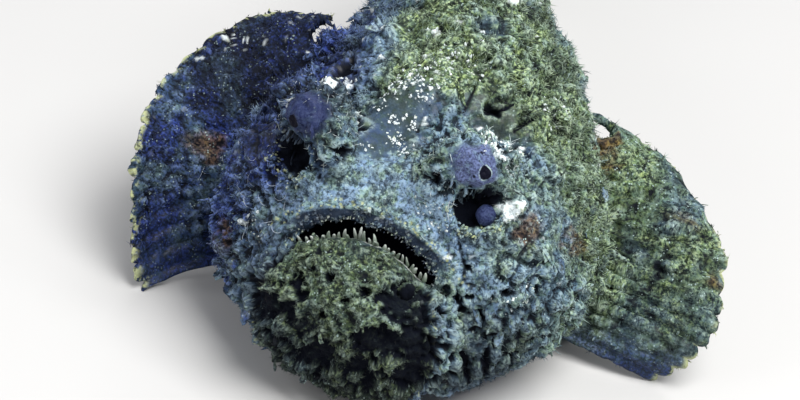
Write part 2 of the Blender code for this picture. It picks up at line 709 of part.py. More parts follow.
def make_back_fin(name, run, form, cutters, fall=0.0):
    """A fin on the ridge of the back, half raised, its tips lower by fall towards the tail."""
    first, last, height, rise, back = run

    def root(u):
        return on_back(0.0, first + (last - first) * u) - np.array((0, 0, ROOT_SUNK))

    def tip(u):
        tall = height + rise * math.sin(math.pi * u) - fall * u
        return on_back(0.0, first + (last - first) * u) + np.array((0, back, tall))

    return settle(fin_sheet(name, root, tip, form), *cutters)


def make_anal(cutters):
    first, last, height, rise, back = ANAL_RUN

    def root(u):
        station = first + (last - first) * u
        return upright(station, np.array(0.0), np.array(line(BELLY, station) + ROOT_SUNK))

    def tip(u):
        station = first + (last - first) * u
        low = max(ANAL_CLEAR, line(BELLY, station) - height - rise * math.sin(math.pi * u))
        return upright(station + back, np.array(0.0), np.array(low))

    return settle(fin_sheet("anal_fin", root, tip, ANAL), *cutters)


def make_caudal(cutters):
    """The tail fin, a fan with a round hind edge."""
    middle = middle_height(TAIL_ROOT)
    reach = TOTAL_LENGTH - TAIL_ROOT

    def root(u):
        return np.array((0.0, FRONT_Y + TAIL_ROOT - ROOT_SUNK, middle + TAIL_ROOT_HALF_HEIGHT * (2 * u - 1)))

    def tip(u):
        turn = TAIL_FAN * (2 * u - 1)
        back = reach * (0.45 + 0.55 * math.cos(turn * 1.1))
        rise = TAIL_HALF_HEIGHT * math.sin(turn) / math.sin(TAIL_FAN)
        return np.array((0.0, FRONT_Y + TAIL_ROOT + back, middle + rise))

    return settle(fin_sheet("caudal_fin", root, tip, CAUDAL), *cutters)


def swing_trunk():
    """Moves all that lies behind the gills sideways, on one smooth curve."""
    first, last, far = TRUNK_SWING
    for piece in bpy.data.objects:
        for vertex in piece.data.vertices:
            vertex.co.x -= far * smooth_step(vertex.co.y - FRONT_Y, first, last)


def main():
    for old in list(bpy.data.objects):
        bpy.data.objects.remove(old)
    make_lower_jaw()
    head = make_head()
    torso = body_length("torso", GILL_OPENING + HALF_GAP, VENT - HALF_GAP, TORSO_ROWS, SKIN_COLOUR)
    stock = body_length("tail_stock", VENT + HALF_GAP, TAIL_ROOT, STOCK_ROWS, SKIN_COLOUR)
    eyes = [make_eye(side) for side in (1, -1)]
    sockets = [swollen(eye) for eye in eyes]
    pits = [make_pit(side) for side in (1, -1)]
    settle(head, *sockets, *pits, joined=head_forms(head))
    for piece, warts, seed in ((torso, TORSO_WARTS, 3), (stock, STOCK_WARTS, 8)):
        tree = BVHTree.FromObject(piece, bpy.context.evaluated_depsgraph_get())
        settle(piece, joined=gathered(piece.name + "_warts", warts_on(tree, warts, seed)))
    around_head, around_torso, around_stock = swollen(head), swollen(torso), swollen(stock)
    for side in (1, -1):
        make_pectoral(side, (around_head, around_torso))
        make_pelvic(side, (around_head, around_torso))
    everything = (around_head, around_torso, around_stock)
    make_back_fin("dorsal_fin_spiny", SPINES_RUN, SPINY_DORSAL, everything, SPINES_FALL)
    make_back_fin("dorsal_fin_soft", SOFT_DORSAL_RUN, SOFT_DORSAL, everything)
    make_anal(everything)
    make_caudal((around_stock,))
    swing_trunk()


main()
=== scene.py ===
"""Looks of a reef stonefish at life size: one warty skin, its mossy coat, eyes, fins and skin flaps, on a stage.

Laid out as a Blender add-on and run as a script. All in metres, +Z up. The fish faces -Y and its left side is +X.
A place on the body is given by its station, the distance behind the foremost point of the chin.
"""

import json
import math

import bmesh
import bpy
import numpy as np
from bpy.props import FloatProperty, FloatVectorProperty, IntProperty, PointerProperty
from mathutils import Matrix, Vector
from mathutils.bvhtree import BVHTree
from mathutils.kdtree import KDTree

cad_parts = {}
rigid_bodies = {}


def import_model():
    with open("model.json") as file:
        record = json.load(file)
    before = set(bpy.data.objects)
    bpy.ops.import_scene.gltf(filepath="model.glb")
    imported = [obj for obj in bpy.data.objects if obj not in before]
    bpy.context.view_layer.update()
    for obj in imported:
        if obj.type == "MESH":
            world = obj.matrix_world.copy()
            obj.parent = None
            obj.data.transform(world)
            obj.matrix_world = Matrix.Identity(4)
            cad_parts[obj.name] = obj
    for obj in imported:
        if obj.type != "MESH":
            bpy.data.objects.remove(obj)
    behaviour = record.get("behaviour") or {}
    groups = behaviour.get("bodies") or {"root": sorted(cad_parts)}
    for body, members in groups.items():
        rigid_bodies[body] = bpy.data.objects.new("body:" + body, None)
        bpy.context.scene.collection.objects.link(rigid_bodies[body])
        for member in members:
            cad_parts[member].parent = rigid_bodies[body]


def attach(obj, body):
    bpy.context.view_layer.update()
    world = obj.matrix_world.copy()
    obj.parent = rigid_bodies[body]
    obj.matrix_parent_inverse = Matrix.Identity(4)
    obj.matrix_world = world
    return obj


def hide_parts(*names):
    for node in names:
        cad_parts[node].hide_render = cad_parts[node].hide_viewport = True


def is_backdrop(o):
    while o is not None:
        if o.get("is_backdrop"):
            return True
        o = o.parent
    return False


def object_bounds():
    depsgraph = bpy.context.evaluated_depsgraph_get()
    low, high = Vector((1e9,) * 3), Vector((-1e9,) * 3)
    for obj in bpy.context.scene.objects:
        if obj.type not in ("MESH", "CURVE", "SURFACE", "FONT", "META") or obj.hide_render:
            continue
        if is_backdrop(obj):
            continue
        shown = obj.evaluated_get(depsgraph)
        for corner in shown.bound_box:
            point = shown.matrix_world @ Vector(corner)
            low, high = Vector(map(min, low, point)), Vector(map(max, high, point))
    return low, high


bl_info = {
    "name": "Reef stonefish",
    "version": (1, 0, 0),
    "blender": (4, 5, 0),
    "location": "3D View > Sidebar > Stonefish",
    "description": "Builds the skin, coat, eyes and fins of a reef stonefish",
    "category": "Object",
}

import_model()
CAD_LOW, CAD_HIGH = (Vector(corner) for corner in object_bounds())

# Driving sizes of the fish, the same as in its solids
TOTAL_LENGTH = 0.330
FRONT_Y = -TOTAL_LENGTH / 2
FRONT = np.array((0.0, FRONT_Y, 0.0))

# Lines of the body, each a list of (station, value)
BACK = (
    (0.0200, 0.0610), (0.0235, 0.0680), (0.0275, 0.0730), (0.034, 0.0770), (0.044, 0.0800), (0.056, 0.0860),
    (0.068, 0.0935), (0.082, 0.1010), (0.100, 0.1065), (0.115, 0.1080), (0.137, 0.1030), (0.162, 0.0915),
    (0.190, 0.0755), (0.220, 0.0605), (0.245, 0.0515), (0.265, 0.0500),
)
BELLY = (
    (0.0200, 0.0030), (0.032, 0.0004), (0.050, -0.0012), (0.160, -0.0012), (0.190, 0.0045), (0.220, 0.0125),
    (0.245, 0.0185), (0.265, 0.0195),
)
HALF_WIDTH = (
    (0.0200, 0.0350), (0.0235, 0.0420), (0.0285, 0.0470), (0.038, 0.0530), (0.052, 0.0575), (0.068, 0.0590),
    (0.088, 0.0555), (0.108, 0.0500), (0.130, 0.0440), (0.160, 0.0365), (0.190, 0.0275), (0.220, 0.0190),
    (0.245, 0.0130), (0.265, 0.0105),
)
WIDEST_AT = (
    (0.0200, 0.41), (0.030, 0.42), (0.050, 0.40), (0.080, 0.34), (0.120, 0.32), (0.180, 0.38), (0.265, 0.50),
)
CROWN_POWER = (
    (0.0200, 2.0), (0.026, 2.3), (0.040, 2.5), (0.058, 2.1), (0.080, 1.55), (0.120, 1.4), (0.265, 2.0),
)
BELLY_POWER = ((0.0200, 2.0), (0.060, 2.1), (0.140, 2.0), (0.200, 2.0), (0.265, 2.0))
BELLY_SHARE = 0.4

MOUTH, GILL_OPENING, TAIL_ROOT = 0.0200, 0.0898, 0.265
CHIN_HEIGHT = 0.0330
GAPE_DOWN, GAPE_FORWARD = 0.0077, 0.0018
GAPE_FULL_TO, GAPE_SHUT_AT = math.radians(46), math.radians(84)
MOUTH_LEAN = 0.0020
MOUTH_DEPTH = 0.014
JAW_HOLLOW = 0.006
LOWER_LIP_ROLL = 0.0016
LIP_WIDTH = (  # how far the soft upper lip and the smooth band beside the jaw reach inwards: (degrees, metres)
    (0, 0.0033), (25, 0.0033), (45, 0.0046), (60, 0.0058), (85, 0.0064), (105, 0.0054), (125, 0.0034), (145, 0.0),
)
LIP_END, LIP_HALF_THICK = 78, 0.0014
UPPER_LIP_ROLLS = ((0.0012, 0.0012, 0.0013), (0.0044, 0.0010, -0.0016), (0.0078, 0.0020, 0.0012))  # (behind, wide, high)

EYE_RADIUS = 0.0054
EYE_CENTRE = (0.0261, FRONT_Y + 0.0278, 0.0832)
EYE_LOOKS = (0.50, -0.85, 0.15)
PUPIL_LOOKS = {1: (0.72, -0.72, 0.13), -1: (-0.36, -0.92, -0.12)}
EYE_DOME_RADIUS, EYE_DOME_BACK = 0.0066, 0.0022
LID_FALL = math.radians(66)
LID_THICK = 0.0014
PIT_CENTRE = (0.0288, FRONT_Y + 0.0255, 0.0700)
PIT_RADIUS = 0.0068
PIT_AXIS = (0.3, -0.7, 0.6)

# Broad relief of the head: distance from the mid plane, station, radius, height, direction on the +X side
KNOBS = (
    (0.0260, 0.0305, 0.0185, 0.0160, (0.03, -0.10, 1.0)),
    (0.0155, 0.0280, 0.0095, 0.0070, (0.0, -0.3, 0.9)),
    (0.0150, 0.0260, 0.0055, 0.0018, (0.2, -0.7, 0.7)),
    (0.0300, 0.0420, 0.0090, 0.0060, (0.3, 0.0, 1.0)),
    (0.0190, 0.0380, 0.0080, 0.0055, (0.0, 0.0, 1.0)),
    (0.0234, 0.0500, 0.0130, -0.0100, (0.15, 0.0, 1.0)),
    (0.0400, 0.0520, 0.0090, 0.0050, (0.6, 0.0, 0.8)),
    (0.0440, 0.0400, 0.0110, 0.0045, (0.8, -0.3, 0.5)),
    (0.0360, 0.0800, 0.0120, 0.0050, (0.5, 0.0, 0.8)),
)
MID_RELIEF = ((0.0360, 0.0130, -0.0020), (0.0560, 0.0150, 0.0045))

# The trunk swings to the fish's right behind the gills: first and last station, and how far
TRUNK_SWING = (0.090, 0.220, 0.040)

# Fins: rays, thickness at the root, at the tip, of the web as a share, depth of the notches
PECTORAL = (15, 0.0052, 0.0016, 0.40, 0.10)
PELVIC = (6, 0.0044, 0.0018, 0.50, 0.10)
SPINY_DORSAL = (13, 0.0066, 0.0018, 0.36, 0.45)
SOFT_DORSAL = (6, 0.0044, 0.0014, 0.45, 0.12)
ANAL = (8, 0.0046, 0.0014, 0.45, 0.16)
CAUDAL = (12, 0.0060, 0.0014, 0.45, 0.06)
ROOT_SUNK = 0.004
PECTORAL_ROOT = (0.078, 0.108, 0.006, 0.056)
PECTORAL_TURN = 2.6
PECTORAL_BULGE = 0.014
PECTORAL_DIP = 8
PECTORAL_TOP_SHORTER = 0.58
PECTORAL_FOOT = (20, 0.010)
PECTORAL_BOW = (0.009, -0.003, 0.002)
PECTORAL_SPREAD = {1: (0.0295, -20, 80, 8), -1: (0.0405, -64, 62, 26)}
PELVIC_ROOT = (0.072, 0.106)
PELVIC_OUT, PELVIC_HIGH = 0.0180, 0.0030
PELVIC_REACH = (0.034, 0.056)
PELVIC_TURNS = (8, 82)
SPINES_RUN = (0.094, 0.198, 0.017, 0.006, 0.012)
SPINES_FALL = 0.005
SOFT_DORSAL_RUN = (0.204, 0.244, 0.016, 0.006, 0.014)
ANAL_RUN = (0.182, 0.234, 0.014, 0.003, 0.012)
ANAL_CLEAR = 0.0012
TAIL_FAN = math.radians(62)
TAIL_HALF_HEIGHT, TAIL_ROOT_HALF_HEIGHT = 0.036, 0.0135

# The photo's camera: it looks down at the face from the fish's left. Pixels are those of the 800 x 400 photo.
PHOTO_WIDTH, PHOTO_HEIGHT = 800, 400
CAMERA_TURN, CAMERA_RISE, CAMERA_ROLL = math.radians(16), math.radians(30), math.radians(9)
CAMERA_AWAY = 0.80
METRES_PER_PIXEL = 0.285e-3
AIM = Vector((0.0, FRONT_Y + 0.027, 0.084))
AIM_PIXEL = (390.5, 138.5)
SENSOR = 36.0

# Places of the face read off the photo, in its pixels
NOSTRIL_PIXELS = ((335.7, 157), (433.7, 187.5))
BARE_PIXELS = {  # (x, y, radius in metres, how bare)
    "saddle": ((392, 118, 0.0105, 1.0), (378, 138, 0.0085, 1.0), (415, 100, 0.0080, 0.9), (405, 140, 0.0060, 0.7)),
    "nape": ((343, 67, 0.0075, 1.0), (494, 124, 0.0064, 0.9), (524, 138, 0.0044, 0.7), (474, 104, 0.0044, 0.8)),
    "domes": ((305, 112, 0.0068, 1.0), (476, 165, 0.0072, 1.0)),
    "temple": ((262, 142, 0.0080, 0.7), (235, 160, 0.0070, 0.5)),
}
PALE_PIXELS = ((329, 85, 0.0021), (510, 212, 0.0021), (506, 218, 0.0011), (515, 206, 0.0011), (488, 137, 0.0018),
               (497, 150, 0.0015), (448, 258, 0.0009), (522, 150, 0.0010), (241, 221, 0.0013), (350, 87, 0.0011),
               (480, 131, 0.0010), (503, 157, 0.0009))
# Painted shadow: black spots in the hollows of the chin and throat, the nostrils, the pits and the folds: (x, y, radius
# in metres)
HOLLOW_SHADOW_PIXELS = (
    (254, 290, 0.0054), (262, 312, 0.0050), (248, 276, 0.0036), (276, 298, 0.0044), (286, 312, 0.0032),
    (298, 292, 0.0020), (388, 297, 0.0030), (408, 301, 0.0046), (424, 310, 0.0040), (430, 322, 0.0030),
    (366, 345, 0.0040), (390, 350, 0.0048), (414, 346, 0.0046), (436, 352, 0.0040), (304, 388, 0.0056),
    (338, 396, 0.0056), (372, 388, 0.0056), (410, 384, 0.0058), (440, 386, 0.0046), (288, 352, 0.0030),
    (318, 346, 0.0028), (310, 268, 0.0012), (343, 152, 0.0022), (434, 181, 0.0018), (361, 122, 0.0016),
    (343, 66, 0.0034), (489, 110, 0.0017), (496, 112, 0.0014), (458, 300, 0.0011), (463, 313, 0.0014),
    (470, 297, 0.0010), (453, 324, 0.0012), (480, 320, 0.0014), (507, 296, 0.0012), (522, 308, 0.0014),
    (538, 290, 0.0012), (468, 268, 0.0009), (274, 264, 0.0013), (296, 283, 0.0024), (330, 277, 0.0012),
    (364, 292, 0.0017), (445, 293, 0.0012), (441, 306, 0.0010), (447, 314, 0.0012),
    (345, 300, 0.0011), (322, 316, 0.0014),
)
# Painted shade: darker spots where the head, chin and fins lie in shade
SHADE_PIXELS = (  # (x, y, radius in metres, how dark)
    (262, 88, 0.0150, 0.96), (225, 78, 0.0140, 0.85), (300, 60, 0.0120, 0.85), (330, 30, 0.0120, 0.75),
    (240, 100, 0.0100, 0.60), (274, 100, 0.0080, 0.80), (250, 45, 0.0180, 0.90), (262, 128, 0.0080, 0.60), (290, 135, 0.0060, 0.70), (160, 300, 0.0200, 0.55),
    (200, 330, 0.0160, 0.60), (345, 52, 0.0070, 0.70), (343, 66, 0.0052, 0.85), (270, 360, 0.0120, 0.45),
    (340, 330, 0.0200, 0.30), (400, 320, 0.0200, 0.30), (300, 300, 0.0160, 0.25), (485, 372, 0.0130, 0.75),
    (520, 382, 0.0130, 0.65), (460, 380, 0.0080, 0.70), (550, 370, 0.0120, 0.45), (230, 250, 0.0060, 0.45),
    (548, 30, 0.0070, 0.60), (556, 70, 0.0050, 0.50), (494, 101, 0.0036, 0.60), (524, 118, 0.0024, 0.50),
    (140, 250, 0.0200, 0.45), (150, 160, 0.0200, 0.35), (285, 30, 0.0140, 0.70),
    (498, 123, 0.0090, 0.35), (395, 125, 0.0130, 0.22), (300, 262, 0.0120, 0.20),
)
FROST_PIXELS = (  # pale flecks lie thick here: (x, y, radius, how thick)
    (412, 80, 0.0060, 1.0), (424, 92, 0.0034, 0.9), (436, 84, 0.0030, 0.6), (393, 120, 0.0020, 1.0),
    (402, 118, 0.0019, 1.0), (416, 123, 0.0023, 0.9), (395, 140, 0.0024, 1.0), (405, 152, 0.0027, 1.0),
    (375, 147, 0.0015, 0.9), (363, 145, 0.0014, 0.8), (378, 106, 0.0022, 0.9), (384, 97, 0.0019, 0.7),
    (352, 108, 0.0018, 0.5), (332, 84, 0.0050, 0.9), (500, 142, 0.0060, 0.8), (512, 168, 0.0040, 0.6),
    (430, 215, 0.0050, 0.4), (250, 225, 0.0050, 0.4), (560, 110, 0.0060, 0.5), (508, 160, 0.0030, 0.7),
    (446, 62, 0.0050, 0.5), (470, 60, 0.0060, 0.4), (524, 300, 0.0050, 0.4),
)
CALM_PIXELS = (  # fine, even turf without knobs: (x, y, radius, how even)
    (290, 215, 0.0090, 1.0), (318, 196, 0.0100, 1.0), (350, 188, 0.0100, 1.0), (384, 188, 0.0100, 1.0),
    (415, 202, 0.0100, 1.0), (440, 225, 0.0090, 1.0), (457, 255, 0.0080, 1.0), (466, 285, 0.0070, 0.8),
    (343, 125, 0.0085, 1.0), (439, 166, 0.0060, 1.0), (385, 165, 0.0090, 0.9), (265, 240, 0.0080, 0.8),
)
# Painted light: spots where the turf of the snout, back and flank is made paler as if lit
PAINTED_LIGHT_PIXELS = (  # pale, lit turf: (x, y, radius, how pale)
    (300, 205, 0.0100, 0.60), (330, 190, 0.0100, 0.80), (365, 184, 0.0110, 1.00), (400, 196, 0.0110, 1.00),
    (428, 215, 0.0090, 0.90), (448, 242, 0.0080, 0.80), (460, 275, 0.0070, 0.60), (385, 165, 0.0090, 0.70),
    (343, 120, 0.0060, 0.20), (480, 250, 0.0110, 0.60), (490, 150, 0.0080, 0.70), (540, 165, 0.0140, 0.50),
    (420, 62, 0.0150, 0.75), (480, 50, 0.0160, 0.80), (410, 30, 0.0140, 0.65), (525, 205, 0.0140, 0.45),
    (505, 275, 0.0120, 0.45), (560, 210, 0.0140, 0.40), (450, 320, 0.0060, 0.50), (455, 90, 0.0100, 0.50),
    (270, 225, 0.0070, 0.40), (520, 20, 0.0140, 0.40),
)
FLAP_PIXELS = (  # large flaps that hang from the cheeks: (x, y, length, width)
    (445, 320, 0.0080, 0.0017), (453, 302, 0.0050, 0.0015), (476, 312, 0.0046, 0.0015), (494, 304, 0.0052, 0.0018),
    (512, 318, 0.0044, 0.0014), (500, 334, 0.0040, 0.0013), (536, 300, 0.0036, 0.0012), (234, 262, 0.0036, 0.0016),
    (228, 286, 0.0034, 0.0015), (222, 236, 0.0034, 0.0016), (246, 312, 0.0034, 0.0014), (560, 262, 0.0040, 0.0014),
    (586, 236, 0.0040, 0.0014), (604, 190, 0.0040, 0.0015), (600, 150, 0.0054, 0.0024),
)
RUST_PIXELS = ((605, 150, 0.0060), (575, 240, 0.0052), (222, 235, 0.0050), (205, 148, 0.0044), (212, 262, 0.0034),
               (530, 232, 0.0040), (180, 292, 0.0040))
PEARL_PIXEL, PEARL_RADIUS = (489, 211), 0.0030  # a violet knob of skin in the pit beneath the left eye
VEIN_PIXELS = (  # pale raised threads of skin: (points, radius)
    (((452, 128), (468, 130), (482, 138), (492, 150), (497, 162)), 0.00075),
    (((470, 131), (486, 132), (500, 139)), 0.00055),
    (((330, 80), (338, 86), (350, 86), (358, 80), (364, 72)), 0.00050),
    (((346, 88), (354, 100), (357, 116), (354, 132), (353, 146)), 0.00038),
    (((350, 90), (362, 96), (370, 106)), 0.00030),
    (((432, 150), (428, 162), (424, 176)), 0.00035),
    (((306, 166), (318, 170), (330, 172)), 0.00025),
    (((268, 150), (258, 160), (252, 172), (240, 182), (228, 190)), 0.00030),
    (((262, 178), (250, 186), (238, 200), (222, 210)), 0.00028),
    (((285, 182), (272, 196), (262, 204), (250, 220), (242, 232)), 0.00030),
    (((451, 198), (448, 206), (447, 214), (450, 222)), 0.00020),
)
VEIN_FIELD = (205, 150, 290, 232)  # part of the photo where loose pale threads lie on the right cheek
# The folds are cut into the skin and painted black as their shadow.
GROOVE_PIXELS = {  # paths of narrow dark folds: (points, width, depth)
    "snout slit": (((319, 174), (320, 178), (321, 183)), 0.0005, 0.0014),
    "left lobe fold": (((352, 95), (360, 108), (361, 122), (358, 136), (355, 150)), 0.0006, 0.0022),
    "right lobe fold": (((424, 150), (421, 162), (423, 174), (430, 183), (440, 185)), 0.0006, 0.0016),
    "left lobe hem": (((326, 146), (336, 151), (346, 152), (354, 146)), 0.0007, 0.0018),
    "nape line": (((478, 84), (472, 94), (467, 106), (464, 118)), 0.0004, 0.0018),
    "nape crescent": (((482, 107), (489, 111), (498, 111), (507, 107), (514, 103), (523, 101)), 0.0006, 0.0022),
    "back crescent": (((512, 134), (518, 128), (527, 122), (540, 116)), 0.0006, 0.0022),
    "cheek furrow": (((455, 232), (461, 250), (464, 268), (462, 285), (456, 300)), 0.0004, 0.0012),
    "lip corner": (((297, 238), (285, 246), (273, 258), (262, 274), (255, 290)), 0.0005, 0.0014),
    "throat fold": (((466, 330), (464, 350), (466, 372), (470, 392)), 0.0011, 0.0030),
    "outer throat fold": (((490, 342), (486, 360), (486, 378), (490, 394)), 0.0010, 0.0026),
    "side throat fold": (((516, 344), (510, 362), (512, 382)), 0.0009, 0.0024),
}


def line(points, station):
    """Value of a body line at a station, on a smooth curve that never overshoots its points."""
    x, y = np.array(points).T
    step = np.diff(x)
    slope = np.diff(y) / step
    inner = np.where(slope[:-1] * slope[1:] > 0, 2 / (1 / (slope[:-1] + 1e-12) + 1 / (slope[1:] + 1e-12)), 0.0)
    tangent = np.concatenate([slope[:1], inner, slope[-1:]])
    station = np.clip(station, x[0], x[-1])
    i = np.clip(np.searchsorted(x, station) - 1, 0, len(step) - 1)
    w = (station - x[i]) / step[i]
    return (
        y[i] * (1 + 2 * w) * (1 - w) ** 2
        + step[i] * tangent[i] * w * (1 - w) ** 2
        + y[i + 1] * w * w * (3 - 2 * w)
        + step[i] * tangent[i + 1] * w * w * (w - 1)
    )


def section_sizes(station):
    top, bottom = line(BACK, station), line(BELLY, station)
    middle = bottom + (top - bottom) * line(WIDEST_AT, station)
    return top, bottom, middle, line(HALF_WIDTH, station)


def upright(station, x, z):
    return np.stack([x, np.full(np.shape(x), FRONT_Y + station), z], axis=-1)


def section(station, columns):
    """One upright cross section, its points going round from the crown towards +X."""
    top, bottom, middle, half = section_sizes(station)
    turn = np.linspace(0, 2 * math.pi, 1441)
    up, out = np.cos(turn), np.sin(turn)
    power = 2 / np.where(up > 0, line(CROWN_POWER, station), line(BELLY_POWER, station))
    rise = np.where(up > 0, top - middle, middle - bottom)
    x = half * np.sign(out) * np.abs(out) ** power
    z = middle + rise * np.sign(up) * np.abs(up) ** power
    weight = np.where(up[1:] > -0.1, 1.0, BELLY_SHARE)
    walk = np.concatenate([[0], np.cumsum(np.hypot(np.diff(x), np.diff(z)) * weight)])
    wanted = walk[-1] * np.arange(columns) / columns
    return upright(station, np.interp(wanted, walk, x), np.interp(wanted, walk, z))


def on_back(x, station):
    """The point of the plain body above (x, station)."""
    top, _, middle, half = section_sizes(station)
    power = line(CROWN_POWER, station)
    z = middle + (top - middle) * (1 - min(abs(x) / half, 1) ** power) ** (1 / power)
    return upright(station, np.array(x), np.array(z))


def on_side(side, station, z):
    """The point of the plain body at a station and height, on one side."""
    top, bottom, middle, half = section_sizes(station)
    crown = z > middle
    rise = top - middle if crown else middle - bottom
    power = line(CROWN_POWER if crown else BELLY_POWER, station)
    x = side * half * (1 - min(abs(z - middle) / rise, 1) ** power) ** (1 / power)
    return upright(station, np.array(x), np.array(z))


def bump(points, centre, radius):
    """1 at the centre, falling smoothly to 0 at the radius."""
    away = np.linalg.norm(points - centre, axis=-1) / radius
    return np.where(away < 1, (1 - away**2) ** 2, 0)


def relieved(points):
    """The points of the plain body moved by the broad relief of the head, and kept above the floor."""
    moved = points.copy()
    for x, station, radius, height, direction in KNOBS:
        for side in (1, -1):
            towards = np.array(direction) * (side, 1, 1)
            centre = on_back(side * x, station)
            moved += bump(points, centre, radius)[..., None] * height * towards / np.linalg.norm(towards)
    for station, radius, height in MID_RELIEF:
        moved += bump(points, on_back(0.0, station), radius)[..., None] * np.array((0, 0, height))
    moved[..., 2] = np.maximum(moved[..., 2], 0.0)
    return moved


def smooth_step(x, start, end):
    w = np.clip((x - start) / (end - start), 0, 1)
    return w * w * (3 - 2 * w)


def sideways(points):
    """How far the swing of the trunk moves each point to the fish's right."""
    first, last, far = TRUNK_SWING
    return far * smooth_step(points[..., 1] - FRONT_Y, first, last)


def swung(points):
    moved = points.copy()
    moved[..., 0] -= sideways(points)
    return moved


def mouth_turn(ring):
    """Angle of each point of the mouth's outline round the chin, 0 at the crown."""
    return np.abs(np.arctan2(ring[..., 0], ring[..., 2] - CHIN_HEIGHT))


def openness(ring):
    """1 where the mouth gapes, falling to 0 at its corners."""
    return 1 - smooth_step(mouth_turn(ring), GAPE_FULL_TO, GAPE_SHUT_AT)


def mouth_outline(columns):
    """The rim of the upper lip and cheeks, its top leaning back."""
    ring = relieved(section(MOUTH, columns))
    ring[:, 1] += MOUTH_LEAN * (ring[:, 2] - CHIN_HEIGHT) / CHIN_HEIGHT
    return ring


def outward(ring):
    """Unit vectors from the middle of the chin to each point of the outline."""
    away = (ring - (0, 0, CHIN_HEIGHT)) * (1, 0, 1)
    return away / np.linalg.norm(away, axis=1)[:, None]


def lower_lip(columns):
    """The rim of the chin shield: sunk from the upper lip where the mouth gapes, tucked behind it elsewhere."""
    mouth = mouth_outline(columns)
    gape = openness(mouth)[:, None]
    return mouth - gape * (GAPE_DOWN * outward(mouth) + (0, GAPE_FORWARD, 0)) + (1 - gape) * (0, 0.0012, 0)


def lip_width(turn):
    return np.interp(np.degrees(turn), *np.array(LIP_WIDTH).T)


def lip_roll():
    """The soft roll that hangs from the upper lip over the gape, as one closed body."""
    upper = mouth_outline(1440)
    turn = np.degrees(np.arctan2(upper[:, 0], upper[:, 2] - CHIN_HEIGHT))
    out = outward(upper)
    circle = np.arange(20) * 2 * math.pi / 20
    rings = []
    for degrees in range(-LIP_END, LIP_END + 1):
        i = np.argmin(np.abs(turn - degrees))
        wide = lip_width(math.radians(abs(degrees))) / 2
        thick = LIP_HALF_THICK * (0.35 + 0.65 * smooth_step(LIP_END - abs(degrees), 0, 20))
        middle = upper[i] - out[i] * (wide - 0.0004) + (0, -0.0004, 0)
        rings.append(middle + np.cos(circle)[:, None] * (0, thick, 0) + np.sin(circle)[:, None] * out[i] * (wide + 0.0002))
    return tube_of_rings(rings)


def hollow_rings(ring, depth):
    """Rings from the lip inwards, sunk by depth behind the open part of the mouth."""
    centre = ring.mean(axis=0)
    return [
        centre + (ring - centre) * share + (openness(ring) * sunk)[:, None] * depth
        for share, sunk in ((0.96, 0.25), (0.90, 0.6), (0.80, 0.85), (0.60, 1.0), (0.40, 0.75), (0.20, 0.25))
    ]


def tube_of_rings(rings):
    """(points, faces) of a closed body: rings of equal length, the first and last shrunk to one point each."""
    columns = len(rings[0])
    points = np.concatenate([rings[0].mean(axis=0)[None], *rings, rings[-1].mean(axis=0)[None]])
    j = np.arange(columns)
    k = (j + 1) % columns
    i = 1 + np.arange(len(rings) - 1)[:, None] * columns
    first = np.stack([np.zeros_like(j), 1 + k, 1 + j], axis=-1)
    walls = [np.stack([i + j, i + k, i + columns + k], axis=-1), np.stack([i + j, i + columns + k, i + columns + j], axis=-1)]
    end = 1 + (len(rings) - 1) * columns
    last = np.stack([end + j, end + k, np.full_like(j, len(points) - 1)], axis=-1)
    return points, np.concatenate([first, *(w.reshape(-1, 3) for w in walls), last])


def ball(centre, radius, towards, rings=24, columns=32):
    """(points, faces) of a round body whose pole points towards a direction."""
    axis, side, up = facing(towards)
    turns = np.arange(columns) * 2 * math.pi / columns
    circle = np.cos(turns)[:, None] * side + np.sin(turns)[:, None] * up
    falls = np.linspace(0, math.pi, rings + 2)[1:-1]
    made = [np.array(centre) + radius * (math.sin(f) * circle + math.cos(f) * axis) for f in falls]
    points, faces = tube_of_rings(made)
    points[0], points[-1] = np.array(centre) + axis * radius, np.array(centre) - axis * radius
    return points, faces


def facing(towards):
    """A unit vector and two more across it."""
    axis = np.array(towards, float) / np.linalg.norm(towards)
    side = np.cross(axis, (0, 0, 1))
    side /= np.linalg.norm(side)
    return axis, side, np.cross(side, axis)


def ring_of_skin(centre, looks, radius, thick, around=40, sides=12):
    """(points, faces) of a closed round ring with its axis along looks."""
    axis, side, up = facing(looks)
    turn, roll = np.meshgrid(np.arange(around) * 2 * math.pi / around, np.arange(sides) * 2 * math.pi / sides,
                             indexing="ij")
    out = np.cos(turn)[..., None] * side + np.sin(turn)[..., None] * up
    points = np.array(centre) + out * (radius + thick * np.cos(roll))[..., None] + axis * (thick * np.sin(roll))[..., None]
    i, j = np.meshgrid(np.arange(around), np.arange(sides), indexing="ij")
    a, b = i * sides + j, i * sides + (j + 1) % sides
    c, d = (i + 1) % around * sides + (j + 1) % sides, (i + 1) % around * sides + j
    return points.reshape(-1, 3), np.concatenate([np.stack(f, -1).reshape(-1, 3) for f in ((a, b, c), (a, c, d))])


def built(name, points, faces, **values):
    """A mesh object from arrays. Each value is an attribute with a number or a vector for each point."""
    mesh = bpy.data.meshes.new(name)
    mesh.vertices.add(len(points))
    mesh.vertices.foreach_set("co", np.asarray(points, np.float32).ravel())
    faces = np.asarray(faces, np.int32)
    mesh.loops.add(faces.size)
    mesh.loops.foreach_set("vertex_index", faces.ravel())
    mesh.polygons.add(len(faces))
    mesh.polygons.foreach_set("loop_start", np.arange(len(faces), dtype=np.int32) * faces.shape[1])
    mesh.update(calc_edges=True)
    mesh.shade_smooth()
    made = bpy.data.objects.new(name, mesh)
    bpy.context.scene.collection.objects.link(made)
    keep_values(made, **values)
    return made


def keep_values(piece, **values):
    for name, value in values.items():
        vector = np.ndim(value) == 2
        kept = piece.data.attributes.new(name, "FLOAT_VECTOR" if vector else "FLOAT", "POINT")
        kept.data.foreach_set("vector" if vector else "value", np.asarray(value, np.float32).ravel())


